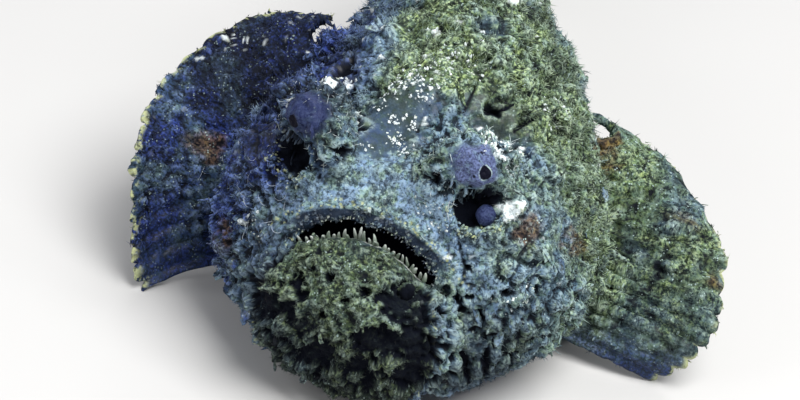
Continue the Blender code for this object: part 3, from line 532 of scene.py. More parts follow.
def arrays(piece):
    """Places, outward directions and triangles of a piece's mesh."""
    mesh = piece.data
    points, normals = np.empty(len(mesh.vertices) * 3, np.float32), np.empty(len(mesh.vertices) * 3, np.float32)
    mesh.vertices.foreach_get("co", points)
    mesh.vertices.foreach_get("normal", normals)
    mesh.calc_loop_triangles()
    corners = np.empty(len(mesh.loop_triangles) * 3, np.int32)
    mesh.loop_triangles.foreach_get("vertices", corners)
    return points.reshape(-1, 3).astype(float), normals.reshape(-1, 3).astype(float), corners.reshape(-1, 3)


def hashed(cell, seed):
    """A number from 0 to 1 for each cell of a lattice."""
    c = cell.astype(np.int64)
    n = (c[..., 0] * 73856093) ^ (c[..., 1] * 19349663) ^ (c[..., 2] * 83492791) ^ (seed * 97531)
    n = ((n ^ (n >> 13)) * 1274126177) & 0xFFFFFFFF
    n = ((n ^ (n >> 15)) * 2246822519) & 0xFFFFFFFF
    return ((n ^ (n >> 16)) & 0xFFFFFF) / 0xFFFFFF


def noise(points, size, seed):
    """Smooth noise from -1 to 1 with lumps of a size."""
    place = points @ TILT / size
    base = np.floor(place)
    w = place - base
    w = w * w * w * (w * (w * 6 - 15) + 10)
    total = 0
    for corner in np.ndindex(2, 2, 2):
        weight = np.prod(np.where(corner, w, 1 - w), axis=-1)
        total = total + weight * hashed(base + corner, seed)
    return total * 2 - 1


TILT = np.array(Matrix.Rotation(0.7, 3, Vector((1, 2, 3)))) @ np.array(Matrix.Rotation(0.5, 3, Vector((3, -1, 1))))


def layered(points, size, seed, layers=3):
    """Noise with finer layers on it."""
    return sum(noise(points, size / 2**k, seed + k) / 2**k for k in range(layers)) / (2 - 0.5 ** (layers - 1))


def pebbles(points, size, seed):
    """(distance to the nearest of a scatter of knobs, distance to the next, its chance number), in sizes."""
    place = points @ TILT / size
    base = np.floor(place)
    nearest, second = np.full(len(points), 9.0), np.full(len(points), 9.0)
    chance = np.zeros(len(points))
    for step in np.ndindex(3, 3, 3):
        cell = base + step - 1
        middle = cell + 0.15 + 0.7 * np.stack([hashed(cell, seed + a) for a in (1, 2, 3)], axis=-1)
        away = np.linalg.norm(place - middle, axis=-1)
        closer = away < nearest
        second = np.where(closer, nearest, np.minimum(second, away))
        chance = np.where(closer, hashed(cell, seed + 4), chance)
        nearest = np.where(closer, away, nearest)
    return nearest, second, chance


def camera_axes():
    """The photo's camera: where it stands, and its ways to the right, up and forwards."""
    away = Vector((math.sin(CAMERA_TURN) * math.cos(CAMERA_RISE), -math.cos(CAMERA_TURN) * math.cos(CAMERA_RISE),
                   math.sin(CAMERA_RISE)))
    level = (-away).cross(Vector((0, 0, 1))).normalized()
    rise = level.cross(-away)
    right = level * math.cos(CAMERA_ROLL) + rise * math.sin(CAMERA_ROLL)
    up = rise * math.cos(CAMERA_ROLL) - level * math.sin(CAMERA_ROLL)
    across = (AIM_PIXEL[0] - PHOTO_WIDTH / 2) * METRES_PER_PIXEL
    above = (PHOTO_HEIGHT / 2 - AIM_PIXEL[1]) * METRES_PER_PIXEL
    return AIM - right * across - up * above + away * CAMERA_AWAY, right, up, -away


def seen(tree, pixel):
    """Place and outward direction of the skin at a pixel of the photo."""
    stand, right, up, forward = camera_axes()
    x = (pixel[0] - PHOTO_WIDTH / 2) * METRES_PER_PIXEL
    y = (PHOTO_HEIGHT / 2 - pixel[1]) * METRES_PER_PIXEL
    ahead = forward * CAMERA_AWAY + right * x + up * y
    place, normal, _, _ = tree.ray_cast(stand, ahead.normalized())
    if place is None:
        place, normal, _, _ = tree.find_nearest(stand + ahead)
    return np.array(place), np.array(normal)


def pit_reach(side, towards):
    """How far the uneven wall of a pit lies from its middle, in each direction."""
    centre = np.array(PIT_CENTRE) * (side, 1, 1)
    places = centre + towards * PIT_RADIUS
    return PIT_RADIUS * (1 + 0.22 * layered(places, 0.0075, 62, 2) + 0.09 * noise(places, 0.0024, 64))


def pit_cutters():
    """Round, uneven bodies that hollow the deep pits beneath the eyes, each of two that overlap."""
    made = []
    for side in (1, -1):
        centre = np.array(PIT_CENTRE) * (side, 1, 1)
        for shift, share in (((0, 0, 0), 1.0), ((0.0024 * side, 0.0012, 0.0020), 0.8)):
            points, faces = ball(centre, 1.0, np.array(PIT_AXIS) * (side, 1, 1), 60, 80)
            towards = points - centre
            points = centre + shift + towards * (share * pit_reach(side, towards))[:, None]
            made.append(built("pit", points, faces))
    return made


def body_shell(columns):
    """The head and trunk as one closed body, from the hollow of the mouth to the root of the tail fin."""
    lip = mouth_outline(columns)
    lip_rest = lip - relieved(section(MOUTH, columns))
    rings = hollow_rings(lip, np.array([0, MOUTH_DEPTH, -0.2 * MOUTH_DEPTH]))[::-1] + [lip]
    for station in [*np.arange(MOUTH + 0.0006, 0.060, 0.0006), *np.arange(0.060, TAIL_ROOT + 0.0004, 0.0012)]:
        share = min((station - MOUTH) / (GILL_OPENING - MOUTH), 1) ** 0.8
        ring = relieved(section(station, columns)) + lip_rest * (1 - share) ** 4
        behind = station - MOUTH
        roll = sum(high * math.exp(-(((behind - at) / wide) ** 2)) for at, wide, high in UPPER_LIP_ROLLS)
        rings.append(swung(ring + outward(ring) * (roll * openness(ring))[:, None]))
    return tube_of_rings(rings)


def jaw_shell(columns, rows=56):
    """The domed shield of the lower jaw, closed behind by the floor of the mouth."""
    mouth, rim = mouth_outline(columns), lower_lip(columns)
    gape = openness(mouth)[:, None]
    pole = np.array([0.0, FRONT_Y, CHIN_HEIGHT])
    rings = []
    for quarter in np.linspace(0, math.pi / 2, rows + 1)[1:]:
        out = math.sin(quarter) ** 0.9
        lip = LOWER_LIP_ROLL * math.exp(-(((quarter - 1.40) / 0.12) ** 2))
        ring = pole + (rim - pole) * (out, 1 - math.cos(quarter), out)
        rings.append(ring + lip * gape * (outward(mouth) * 0.4 + (0, -0.8, 0)))
    points, faces = tube_of_rings(rings + hollow_rings(rim, np.array([0, -JAW_HOLLOW, -0.3 * JAW_HOLLOW])))
    points[0] = pole
    return points, faces


def eye_forms(side):
    """The dome of skin round an eye and its lids."""
    looks = np.array(EYE_LOOKS) * (side, 1, 1)
    looks /= np.linalg.norm(looks)
    centre = np.array(EYE_CENTRE) * (side, 1, 1)
    rim = EYE_RADIUS * math.sin(LID_FALL) + 0.4 * LID_THICK
    return [
        built("eye dome", *ball(centre - looks * EYE_DOME_BACK, EYE_DOME_RADIUS, looks)),
        built("lids", *ring_of_skin(centre + looks * EYE_RADIUS * math.cos(LID_FALL), looks, rim, LID_THICK / 2)),
    ]


def gathered(name, pieces):
    """A collection that holds the pieces, for one Boolean."""
    collection = bpy.data.collections.new(name)
    for piece in pieces:
        collection.objects.link(piece)
        bpy.context.scene.collection.objects.unlink(piece)
    return collection


def fused(piece, cut, joined, voxel):
    """Cuts and joins closed bodies with a piece, and gives the result an even mesh."""
    for operation, collection in (("UNION", joined), ("DIFFERENCE", cut)):
        step = piece.modifiers.new(operation.lower(), "BOOLEAN")
        step.operation, step.solver, step.operand_type, step.collection = operation, "MANIFOLD", "COLLECTION", collection
    even = piece.modifiers.new("even mesh", "REMESH")
    even.mode, even.voxel_size, even.use_smooth_shade = "VOXEL", voxel, True
    apply_modifiers(piece)
    for collection in (cut, joined):
        for old in list(collection.objects):
            bpy.data.objects.remove(old)
        bpy.data.collections.remove(collection)


def apply_modifiers(piece):
    depsgraph = bpy.context.evaluated_depsgraph_get()
    mesh = bpy.data.meshes.new_from_object(piece.evaluated_get(depsgraph))
    piece.modifiers.clear()
    piece.data = mesh
    mesh.name = piece.name


class Marks:
    """Where the skin is bare, pale, rusty or violet, and where shadow, shade and light are painted on it, from its
    places.
    """

    def __init__(self, tree):
        def found(pixels):
            return [(seen(tree, mark[:2])[0], *mark[2:]) for mark in pixels]

        self.bare = [mark for group in BARE_PIXELS.values() for mark in found(group)]
        self.domes, self.pale, self.dark = found(BARE_PIXELS["domes"]), found(PALE_PIXELS), found(HOLLOW_SHADOW_PIXELS)
        self.shade, self.frost, self.rust = found(SHADE_PIXELS), found(FROST_PIXELS), found(RUST_PIXELS)
        self.calm, self.bright = found(CALM_PIXELS), found(PAINTED_LIGHT_PIXELS)
        self.plain = tree_of([body_shell(240)])
        self.grooves = []
        for path, width, depth in GROOVE_PIXELS.values():
            ends = np.array(path, float)
            steps = np.linspace(0, len(ends) - 1, 12 * (len(ends) - 1) + 1)
            pixels = np.stack([np.interp(steps, np.arange(len(ends)), ends[:, a]) for a in (0, 1)], axis=-1)
            for _ in range(12):
                pixels[1:-1] = (pixels[:-2] + 2 * pixels[1:-1] + pixels[2:]) / 4
            self.grooves.append(([seen(tree, p)[0] for p in pixels], width, depth))

    @staticmethod
    def spots(points, centres, wobble, softness=0.35):
        """How far inside any of some round spots with uneven edges each point lies, 0 to 1."""
        total = np.zeros(len(points))
        for centre, radius, *much in centres:
            near = np.flatnonzero(np.abs(points - centre).max(axis=1) < radius * 1.8)
            away = np.linalg.norm(points[near] - centre, axis=1) / radius + wobble[near]
            total[near] = np.maximum(total[near], (1 - smooth_step(away, 1 - softness, 1 + softness)) * (much or [1])[0])
        return total

    def groove(self, points):
        """Depth of the narrow folds at each point, in metres; their shadow is painted black. They narrow towards their
        ends.
        """
        depth = np.zeros(len(points))
        for path, width, deep in self.grooves:
            for share, place in zip(np.linspace(0.04, 0.96, len(path)), path):
                wide = width * (0.35 + 0.65 * math.sin(math.pi * share))
                near = np.flatnonzero(np.abs(points - place).max(axis=1) < 3 * wide)
                away = np.linalg.norm(points[near] - place, axis=1) / wide
                depth[near] = np.maximum(depth[near], deep * math.sin(math.pi * share) * np.exp(-(away**2)))
        return depth


def distance_to(rim, points):
    """Distance of the points near the mouth to a rim, 1 elsewhere."""
    tree = KDTree(len(rim))
    for i, place in enumerate(rim):
        tree.insert(place, i)
    tree.balance()
    near = np.flatnonzero((points[:, 1] < FRONT_Y + 0.036) & (points[:, 2] < 0.070))
    away = np.full(len(points), 1.0)
    away[near] = [tree.find(p)[2] for p in points[near]]
    return away


def across_rim(rim, points):
    """How far each point lies inwards of a rim round the chin, and how far behind it."""
    turn = np.arctan2(rim[:, 0], rim[:, 2] - CHIN_HEIGHT)
    order = np.argsort(turn)
    here = np.arctan2(points[:, 0], points[:, 2] - CHIN_HEIGHT)
    reach = np.interp(here, turn[order], np.hypot(rim[:, 0], rim[:, 2] - CHIN_HEIGHT)[order])
    inwards = reach - np.hypot(points[:, 0], points[:, 2] - CHIN_HEIGHT)
    return inwards, points[:, 1] - np.interp(here, turn[order], rim[order, 1])


def mouth_band(points):
    """Shares from 0 to 1 round the mouth: the lips, the strip above them, the sides of the jaw, the chin, the throat."""
    inwards, behind = across_rim(mouth_outline(720), points)
    _, behind_chin = across_rim(lower_lip(720), points)
    from_lower = distance_to(lower_lip(720), points)
    turn, gape = mouth_turn(points), openness(points)
    degrees, wide = np.degrees(turn), lip_width(turn)
    beside = smooth_step(degrees, 42, 60) * (1 - smooth_step(degrees, 126, 145))
    near = (behind < 0.012) * (behind > -0.016)
    on_roll = smooth_step(inwards, -0.0010, -0.0004) * (1 - smooth_step(inwards, wide + 0.0004, wide + 0.0010))
    lip = on_roll * (np.abs(behind) < 0.0040) * gape * (1 - smooth_step(degrees, 44, 60))
    side_band = beside * near * smooth_step(inwards, -0.0095, -0.0060) * (1 - smooth_step(inwards, wide - 4e-4, wide + 4e-4))
    strip = smooth_step(-inwards, 0.0005, 0.0012) * (1 - smooth_step(-inwards, 0.0024, 0.0040)) * gape
    strip *= (behind > -0.003) * (behind < 0.006)
    front = behind < 0.0008
    crease = bump_at(inwards, wide, 0.0005) * front * smooth_step(degrees, 52, 64) * (1 - smooth_step(degrees, 126, 140))
    under = bump_at(distance_to(mouth_outline(400), points), 0.0, 0.0010) * smooth_step(degrees, 118, 138)
    hem = bump_at(inwards, wide - 0.0010, 0.0005) * front * beside * (np.abs(behind) < 0.016)
    chin = front * smooth_step(inwards - wide, -0.0002, 0.0006)
    margin = (1 - smooth_step(from_lower, 0.0010, 0.0060)) * gape * chin
    inside = smooth_step(inwards, 0.0006, 0.0016) * smooth_step(behind_chin, 0.0010, 0.0024)
    throat = inside * (behind < MOUTH_DEPTH + 0.006) * smooth_step(gape, 0.0, 0.3) * (1 - lip)
    return {"side_band": side_band, "lip": lip, "strip": strip, "margin": margin, "groove": np.maximum(crease, under),
            "throat": throat, "chin": chin, "hem": hem * (1 - lip)}


def in_pits(points, plain):
    """How deep in the pits beneath the eyes each point lies, 0 to 1, from its depth under the plain body."""
    deep = np.zeros(len(points))
    for side in (1, -1):
        from_middle = points - np.array(PIT_CENTRE) * (side, 1, 1)
        away = np.linalg.norm(from_middle, axis=1)
        near = np.flatnonzero(away < 1.6 * PIT_RADIUS)
        wall = away[near] / pit_reach(side, from_middle[near] / away[near][:, None])
        depth = np.array([plain.find_nearest(p)[3] for p in points[near]])
        depth = depth + 0.0007 * noise(points[near], 0.0018, 24)
        deep[near] = np.maximum(deep[near], (1 - smooth_step(wall, 1.15, 1.35)) * smooth_step(depth, 0.0008, 0.0030))
    return deep


def skin_values(points, marks, band):
    """The markings at each point of the fish, with its painted light, shade and shadow, as shares from 0 to 1."""
    lip, margin, chin = band["lip"], band["margin"], band["chin"]
    wobble = 0.30 * layered(points, 0.0042, 11) + 0.30 * noise(points, 0.0011, 12)
    ragged = 1.0 * layered(points, 0.0060, 18) + 0.35 * noise(points, 0.0012, 19)
    station, z = points[:, 1] - FRONT_Y, points[:, 2]
    x = points[:, 0] + sideways(points)
    low = 1 - smooth_step(z + 0.006 * noise(points, 0.012, 13), 0.006, 0.024)
    bare = np.maximum.reduce([marks.spots(points, marks.bare, wobble), band["side_band"] * 0.28, lip,
                              0.6 * low * (station > 0.03)])
    patchy, wide = layered(points, 0.014, 14), layered(points, 0.042, 27)
    turf = smooth_step(patchy, -0.75, -0.05) * (1 - bare) * (1 - 0.8 * margin)
    calm = marks.spots(points, marks.calm, wobble, 0.5)
    on_back = smooth_step(station + 0.006 * patchy, 0.042, 0.062)
    on_back *= smooth_step(x + 0.016 * patchy + 0.014 * wide, -0.034, 0.006)
    behind = smooth_step(station, 0.090, 0.120)
    outer = smooth_step(points[:, 0], 0.056, 0.068)
    gold = 0.85 * on_back * (1 - 0.75 * behind * smooth_step(wide, -0.05, 0.30)) * (1 - 0.5 * outer) + 0.65 * chin
    olive = 0.42 * smooth_step(layered(points, 0.0085, 30), -0.25, 0.35) * smooth_step(x, -0.034, -0.010)
    gold = np.clip(np.maximum(gold + 0.50 * layered(points, 0.017, 22) - 0.3 * calm, olive), 0, 1)
    # Violet share: painted blue shade on the fish's right side, violet low on the body, and violet patches on the trunk
    violet = smooth_step(-x + 0.010 * layered(points, 0.020, 15), 0.014, 0.034) * (1 - 0.60 * smooth_step(station, 0.11, 0.18))
    violet *= 0.45 + 0.55 * smooth_step(layered(points, 0.012, 23), -0.40, 0.10)
    violet = np.maximum(violet * (1 - 0.5 * band["strip"]), smooth_step(-z, -0.020, -0.004) * 0.7 * (1 - chin))
    violet = np.maximum(violet, 0.5 * behind * smooth_step(layered(points, 0.036, 29), 0.10, 0.50))
    violet *= 1 - 0.6 * band["side_band"]
    flecks = smooth_step(layered(points, 0.0030, 16), 0.50, 0.60) * smooth_step(noise(points, 0.016, 20), 0.0, 0.4)
    pale = np.maximum(marks.spots(points, marks.pale, wobble * 1.8, 0.12), flecks * smooth_step(z, 0.03, 0.07) * 0.9)
    rust = np.maximum(marks.spots(points, marks.rust, ragged, 0.5), smooth_step(layered(points, 0.026, 17), 0.40, 0.56)
                      * smooth_step(station, 0.060, 0.075))
    lump, between, _ = pebbles(points, 0.0085, 71)
    # Painted shadow in the gaps between the lumps of the chin, lower down
    chin_gap_shadow = 1 - smooth_step(between - lump + 0.40 * layered(points, 0.0034, 73), 0.02, 0.22)
    chin_gap_shadow *= chin * (1 - margin) * smooth_step(noise(points, 0.020, 74) - 16 * (z - 0.036), -0.30, 0.40)
    # Dark saddles: bands of the trunk's own pattern, kept in the shade share
    saddles = behind * smooth_step(layered(points, 0.040, 28) + 0.25 * patchy, 0.02, 0.34)
    # Painted shade on the chin, darker low down where it curves under
    painted_chin_shade = chin * (0.44 + 0.40 * smooth_step(-z + 0.004 * patchy, -0.046, -0.020))
    torn = ragged * 0.80 + 0.60 * noise(points, 0.0024, 75)
    # Dark share: painted shadow in the hollows, folds, creases, pits, the mouth and the gaps of the chin
    dark = np.maximum(marks.spots(points, marks.dark, torn, 0.2) * 0.96, smooth_step(marks.groove(points) * (1 + 0.7 * noise(points, 0.0013, 26)), 2e-4, 9e-4))
    dark = np.maximum.reduce([dark, 0.8 * band["groove"], in_pits(points, marks.plain), band["throat"], 0.95 * chin_gap_shadow])
    return {
        "bare": bare, "turf": turf, "violet": violet, "pale": pale * (1 - lip), "rust": rust, "dark": dark, "lip": lip,
        "strip": np.maximum(band["strip"], 0.8 * band["hem"]), "margin": margin, "gold": gold, "calm": calm,
        "dome": marks.spots(points, marks.domes, wobble * 0.4, 0.25),
        # Shade share: painted shade on the head, chin and fins, the dark saddles of the trunk's pattern, and ragged
        # darker patches on the far left flank and fin
        "shade": np.maximum.reduce([marks.spots(points, marks.shade, wobble, 0.6), 0.78 * saddles, painted_chin_shade,
                                    0.38 * outer * smooth_step(ragged, -0.6, 0.3)]),
        "frost": marks.spots(points, marks.frost, wobble, 0.5),
        # Painted light on the turf
        "bright": marks.spots(points, marks.bright, wobble, 0.7),
    }


def skin_relief(points, marks, values, band, warts):
    """Height of the fine forms of the skin over its broad shape, in metres."""
    bare, turf = values["bare"], values["turf"]
    rough = (1 - 0.9 * bare) * (1 - values["lip"]) * (1 - 0.75 * values["margin"])
    knobbly = rough * (1 - 0.75 * values["calm"]) * (1 - 0.55 * band["chin"])
    back = smooth_step(points[:, 1] - FRONT_Y, 0.050, 0.080) * rough
    clump, _, big = pebbles(points, 0.0120, 51)
    knob, between, chance = pebbles(points, 0.0062, 21)
    domes = np.clip(1 - (knob / (0.36 + 0.24 * chance)) ** 2, 0, 1) ** 0.6 * (chance > 0.35) * (0.5 + chance)
    domes *= 1 - 0.75 * back * smooth_step(noise(points, 0.024, 57), 0.25, -0.25)
    small, _, luck = pebbles(points, 0.0022, 31)
    beads = np.clip(1 - (small / 0.55) ** 2, 0, 1) ** 0.7 * (0.4 + 0.6 * luck)
    cracks = 1 - smooth_step(between - knob + 0.25 * noise(points, 0.0020, 45), 0.02, 0.24)
    cracks *= smooth_step(noise(points, 0.013, 44), -0.35, 0.25) * (1 - 0.75 * back)
    thin_cracks = bump_at(noise(points, 0.0030, 46), 0.0, 0.15)
    along_flank = points - 0.72 * (points @ FLANK_LIE)[:, None] * FLANK_LIE
    folds = bump_at(layered(along_flank, 0.0056, 47), 0.0, 0.13) - 0.35
    height = layered(points, 0.0090, 41) * 0.0013 * (0.30 + 0.70 * rough)
    height += knobbly * warts * (domes * 0.00170 - cracks * 0.00140 - thin_cracks * 0.00050)
    height += knobbly * warts * values["violet"] * folds * 0.00170
    height += rough * warts * beads * (0.00026 + 0.00026 * turf)
    height += rough * (0.00034 * noise(points, 0.0013, 42) + 0.00022 * noise(points, 0.0007, 48))
    uneven = smooth_step(noise(points, 0.030, 53), -0.45, 0.35)
    height += back * uneven * (np.clip(1 - (clump / (0.40 + 0.25 * big)) ** 2, 0, 1) ** 0.6 * 0.0030 - 0.0010)
    height += back * (0.0020 * layered(points, 0.0170, 54) + 0.0012 * layered(points, 0.0056, 58))
    large, _, odds = pebbles(points, 0.0200, 61)
    height += back * np.clip(1 - (large / 0.30) ** 2, 0, 1) ** 0.7 * (odds > 0.45) * 0.0030
    height += band["chin"] * rough * (0.0011 * layered(points, 0.0044, 55) + 0.0004 * noise(points, 0.0009, 56))
    wrinkle = bump_at(layered(points, 0.0038, 94), 0.0, 0.14)
    height += band["side_band"] * (0.0006 * layered(points, 0.0034, 96) - 0.0013 * wrinkle + 0.0003 * noise(points, 0.0011, 95))
    height += values["strip"] * (beads * 0.0008 + 0.0003)
    away = np.full(len(points), 1.0)
    for side in (1, -1):
        from_eye = points - np.array(EYE_CENTRE) * (side, 1, 1)
        reach = np.linalg.norm(from_eye, axis=1)
        away = np.minimum(away, reach)
        turn = np.arctan2(from_eye[:, 2], from_eye[:, 0] * side)
        rays = np.cos(13 * turn + 2.2 * noise(points, 0.008, 43)) * bump_at(reach, 0.0125, 0.0065)
        height += 0.00060 * rays * rough
    height *= smooth_step(away, 0.0072, 0.0095) * 0.75 + 0.25
    height += lumps(points) * (1 - smooth_step(away, 0.0085, 0.0110))
    height *= 1 - 0.85 * values["lip"]
    notch, _, _ = pebbles(points, 0.0031, 52)
    height += values["lip"] * (0.0011 * np.clip(1 - (notch / 0.6) ** 2, 0, 1) - 0.0005 + 0.0005 * layered(points, 0.0050, 50))
    height += 0.0004 * band["hem"]
    height -= 0.0011 * band["groove"]
    hollow = marks.spots(points, marks.dark, layered(points, 0.0060, 18) + 0.5 * noise(points, 0.0024, 75), 0.4)
    height -= hollow * 0.0036 + marks.groove(points)
    height -= 0.0022 * values["dark"] * band["chin"] * (1 - hollow)
    height += values["pale"] * (0.0006 + 0.0009 * layered(points, 0.0022, 59))
    height *= 1 - band["throat"]
    return height * smooth_step(points[:, 2], 0.0006, 0.0060)


FLANK_LIE = np.array((-0.62, 0.62, -0.48)) / np.linalg.norm((-0.62, 0.62, -0.48))


def lumps(points):
    """Uneven swelling of the eyes and their domes."""
    return 0.0017 * layered(points, 0.0046, 91, 2) + 0.00030 * noise(points, 0.0016, 92) + 0.00014 * noise(points, 0.0007, 93)


def bump_at(x, middle, wide):
    return np.exp(-(((x - middle) / wide) ** 2))


def displaced(piece, marks, warts, share=1.0):
    """Gives a piece its fine relief and its markings."""
    points, normals, corners = arrays(piece)
    band = mouth_band(points)
    values = skin_values(points, marks, band)
    height = skin_relief(points, marks, values, band, warts) * share
    moved = points + normals * height[:, None]
    moved[:, 2] = np.maximum(moved[:, 2], 0.0)
    piece.data.vertices.foreach_set("co", moved.astype(np.float32).ravel())
    piece.data.update()
    near = height - smoothed(height[:, None], corners, 14)[:, 0]
    keep_values(piece, place=points, height=height * 1000, cavity=near * 1000, along=np.zeros(len(points)),
                luck=np.full(len(points), 0.5), **values)


def smoothed(values, corners, rounds):
    """Values of the points, each drawn towards the mean of its neighbours."""
    a = corners.ravel()
    b = np.roll(corners, -1, axis=1).ravel()
    size = len(values)
    count = np.maximum(np.bincount(a, minlength=size) + np.bincount(b, minlength=size), 1)[:, None]
    for _ in range(rounds):
        total = np.stack([np.bincount(a, v[b], size) + np.bincount(b, v[a], size) for v in values.T], axis=-1)
        values = 0.5 * values + 0.5 * total / count
    return values


def unwrapped(points):
    """Where points of the fish lie on its skin laid out flat: round the body, and along it."""
    middle = (line(BACK, points[:, 1] - FRONT_Y) + line(BELLY, points[:, 1] - FRONT_Y)) / 2
    around = np.arctan2(points[:, 0] + sideways(points), points[:, 2] - middle) / (2 * math.pi) + 0.5
    return np.stack([around, (points[:, 1] - FRONT_Y) / TOTAL_LENGTH], axis=-1)


def sprouts(name, roots, towards, length, width, bend, profile, sides, flat, draw, values, twist=None, ragged=0.0,
            mottled=False):
    """A piece of many closed, tapering sprouts. The profile is a list of (share of the length, share of the width).

    A mottled sprout has its markings vary over it, and any other has those of its root.
    """
    count, levels = len(roots), len(profile)
    towards = towards / np.linalg.norm(towards, axis=1)[:, None]
    across = draw.normal(size=(count, 3)) if twist is None else twist
    across = np.cross(across, towards)
    across /= np.linalg.norm(across, axis=1)[:, None]
    over = np.cross(towards, across)
    along = np.array([p[0] for p in profile])
    share = np.array([p[1] for p in profile])
    middle = roots[:, None] + towards[:, None] * (length[:, None] * along)[..., None]
    middle += bend[:, None] * (length[:, None] * np.maximum(along, 0) ** 2)[..., None]
    turn = np.arange(sides) * 2 * math.pi / sides
    wide = (width[:, None] * share)[..., None]
    ring = middle[:, :, None] + (wide * np.cos(turn))[..., None] * across[:, None, None]
    ring = ring + (wide * np.sin(turn) * flat)[..., None] * over[:, None, None]
    tip = roots + towards * length[:, None] + bend * length[:, None]
    points = np.concatenate([ring.reshape(count, -1, 3), tip[:, None]], axis=1)
    j = np.arange(sides)
    k = (j + 1) % sides
    faces = [np.stack([np.zeros(sides - 2, int), np.arange(2, sides), np.arange(1, sides - 1)], axis=-1)]
    for level in range(levels - 1):
        low, high = level * sides, (level + 1) * sides
        faces += [np.stack([low + j, low + k, high + k], -1), np.stack([low + j, high + k, high + j], -1)]
    last = (levels - 1) * sides
    faces.append(np.stack([last + j, last + k, np.full(sides, levels * sides)], axis=-1))
    faces = np.concatenate(faces)
    each = levels * sides + 1
    corners = (faces[None] + (np.arange(count) * each)[:, None, None]).reshape(-1, 3)
    points = points.reshape(-1, 3)
    points += draw.normal(size=points.shape) * np.repeat(width, each)[:, None] * ragged
    points[:, 2] = np.maximum(points[:, 2], 0.0)
    heights = np.append(np.repeat(np.maximum(along, 0), sides), 1.0)
    spread = {key: np.repeat(value, each, axis=0) for key, value in values.items()}
    if mottled:
        spread["place"] = points
    made = built(name, points, corners, along=np.tile(heights, count), **spread)
    patch = np.stack([np.append(np.tile(turn / (2 * math.pi), levels), 0.5), heights], axis=-1) - 0.5
    flat_map = (unwrapped(values["place"])[:, None] + patch * PATCH).reshape(-1, 2)
    layer = made.data.uv_layers.new(name="OFBake")
    layer.data.foreach_set("uv", flat_map[corners.ravel()].astype(np.float32).ravel())
    return made


PATCH = 0.003
BLADE = ((-0.30, 1.0), (0.45, 0.85))
THREAD = ((-0.15, 1.0), (0.35, 0.8), (0.7, 0.6))
LOBE = ((-0.25, 0.55), (0.15, 0.75), (0.45, 1.05), (0.75, 0.9), (0.92, 0.55))
TONGUE = ((-0.20, 0.80), (0.08, 0.86), (0.22, 1.02), (0.36, 0.94), (0.50, 0.98), (0.64, 0.74), (0.78, 0.62), (0.90, 0.34))
CRUMB = ((-0.40, 0.90), (0.30, 1.0), (0.75, 0.62))
CONE = ((-0.40, 1.15), (0.0, 1.0), (0.35, 0.80), (0.7, 0.58), (0.9, 0.38))
MARKINGS = ("bare", "turf", "violet", "pale", "rust", "dark", "edge", "lip", "strip", "margin", "gold", "calm", "dome",
            "shade", "frost", "bright")


def scatter(piece, weigh, count, draw):
    """Places scattered over a piece: place, outward direction and markings. weigh gives how densely they stand."""
    points, normals, corners = arrays(piece)
    values = {}
    for name in (*MARKINGS, "height", "cavity"):
        values[name] = np.empty(len(points), np.float32)
        piece.data.attributes[name].data.foreach_get("value", values[name])
    a, b, c = (points[corners[:, n]] for n in range(3))
    area = np.linalg.norm(np.cross(b - a, c - a), axis=1) / 2
    weight = area * weigh(points, values)[corners].mean(axis=1)
    chosen = draw.choice(len(corners), count, p=weight / weight.sum())
    shares = draw.dirichlet((1, 1, 1), count)
    corner = corners[chosen]
    place = (points[corner] * shares[..., None]).sum(axis=1)
    normal = (normals[corner] * shares[..., None]).sum(axis=1)
    found = {name: (value[corner] * shares).sum(axis=1) for name, value in values.items()}
    found["luck"] = draw.uniform(size=count)
    return place, normal / np.linalg.norm(normal, axis=1)[:, None], found


def taken(found, repeat=1):
    return {key: np.repeat(value, repeat, axis=0) for key, value in found.items()}


def grow_moss(piece, name, tufts, blades, length, draw, weigh):
    """Turf of short blades in tufts, lying a little backwards, shortest and finest on the face."""
    place, normal, found = scatter(piece, weigh, tufts, draw)
    behind_face = smooth_step(place[:, 1] - FRONT_Y, 0.035, 0.075)
    tall = draw.uniform(0.55, 1.25, tufts) * length * (0.55 + 0.45 * behind_face)
    tall *= (1 - 0.30 * found["calm"]) * (1 - 0.5 * found["margin"])
    spread = draw.normal(size=(tufts * blades, 3))
    roots = np.repeat(place, blades, axis=0) + spread * np.repeat(tall, blades)[:, None] * 0.28
    towards = np.repeat(normal, blades, axis=0) * 0.6 + draw.normal(size=spread.shape) * 0.65 + (0, 0.25, -0.05)
    size = np.repeat(tall, blades) * draw.uniform(0.6, 1.4, tufts * blades)
    bend = draw.normal(size=spread.shape) * 0.55 + (0, 0.10, -0.12)
    wide = draw.uniform(0.00006, 0.00014, tufts * blades) * (1 + 0.4 * np.repeat(behind_face, blades))
    values = taken({"place": place, **found}, blades)
    return sprouts(name, roots, towards, size, wide, bend, BLADE, 3, 1.0, draw, values)


def grow_crumbs(piece, name, count, size, draw, weigh, white=0.7):
    """Small flat crumbs of growth that sit on the skin in clusters. white says how pale the darkest is."""
    place, normal, found = scatter(piece, weigh, count, draw)
    wide = size * draw.uniform(0.30, 1.0, count) ** 1.4
    found["pale"] = np.maximum(found["pale"], draw.uniform(white, white + 0.3, count))
    found["lip"] = found["lip"] * draw.uniform(0.45, 0.95, count)
    for name_of in ("shade", "dark", "bare", "calm"):
        found[name_of] = np.zeros(count)
    towards = normal + draw.normal(size=normal.shape) * 0.25
    bend = np.zeros((count, 3))
    return sprouts(name, place, towards, wide * 0.5, wide, bend, CRUMB, 7, 0.6, draw, {"place": place, **found}, None,
                   0.24, True)


def grow_flaps(piece, name, count, length, draw, weigh):
    """Leaf-like skin flaps that stand out and droop."""
    place, normal, found = scatter(piece, weigh, count, draw)
    size = length * draw.uniform(0.30, 1.0, count) ** 1.6
    towards = normal * 0.7 + draw.normal(size=normal.shape) * 0.55 + (0, 0.15, -0.25)
    bend = draw.normal(size=normal.shape) * 0.35 + (0, 0, -0.25)
    wide = size * draw.uniform(0.18, 0.34, count)
    twist = normal + draw.normal(size=normal.shape) * 0.4
    values = {"place": place, **found}
    return sprouts(name, place, towards, size, wide, bend, LOBE, 6, 0.26, draw, values, twist, 0.22, True)


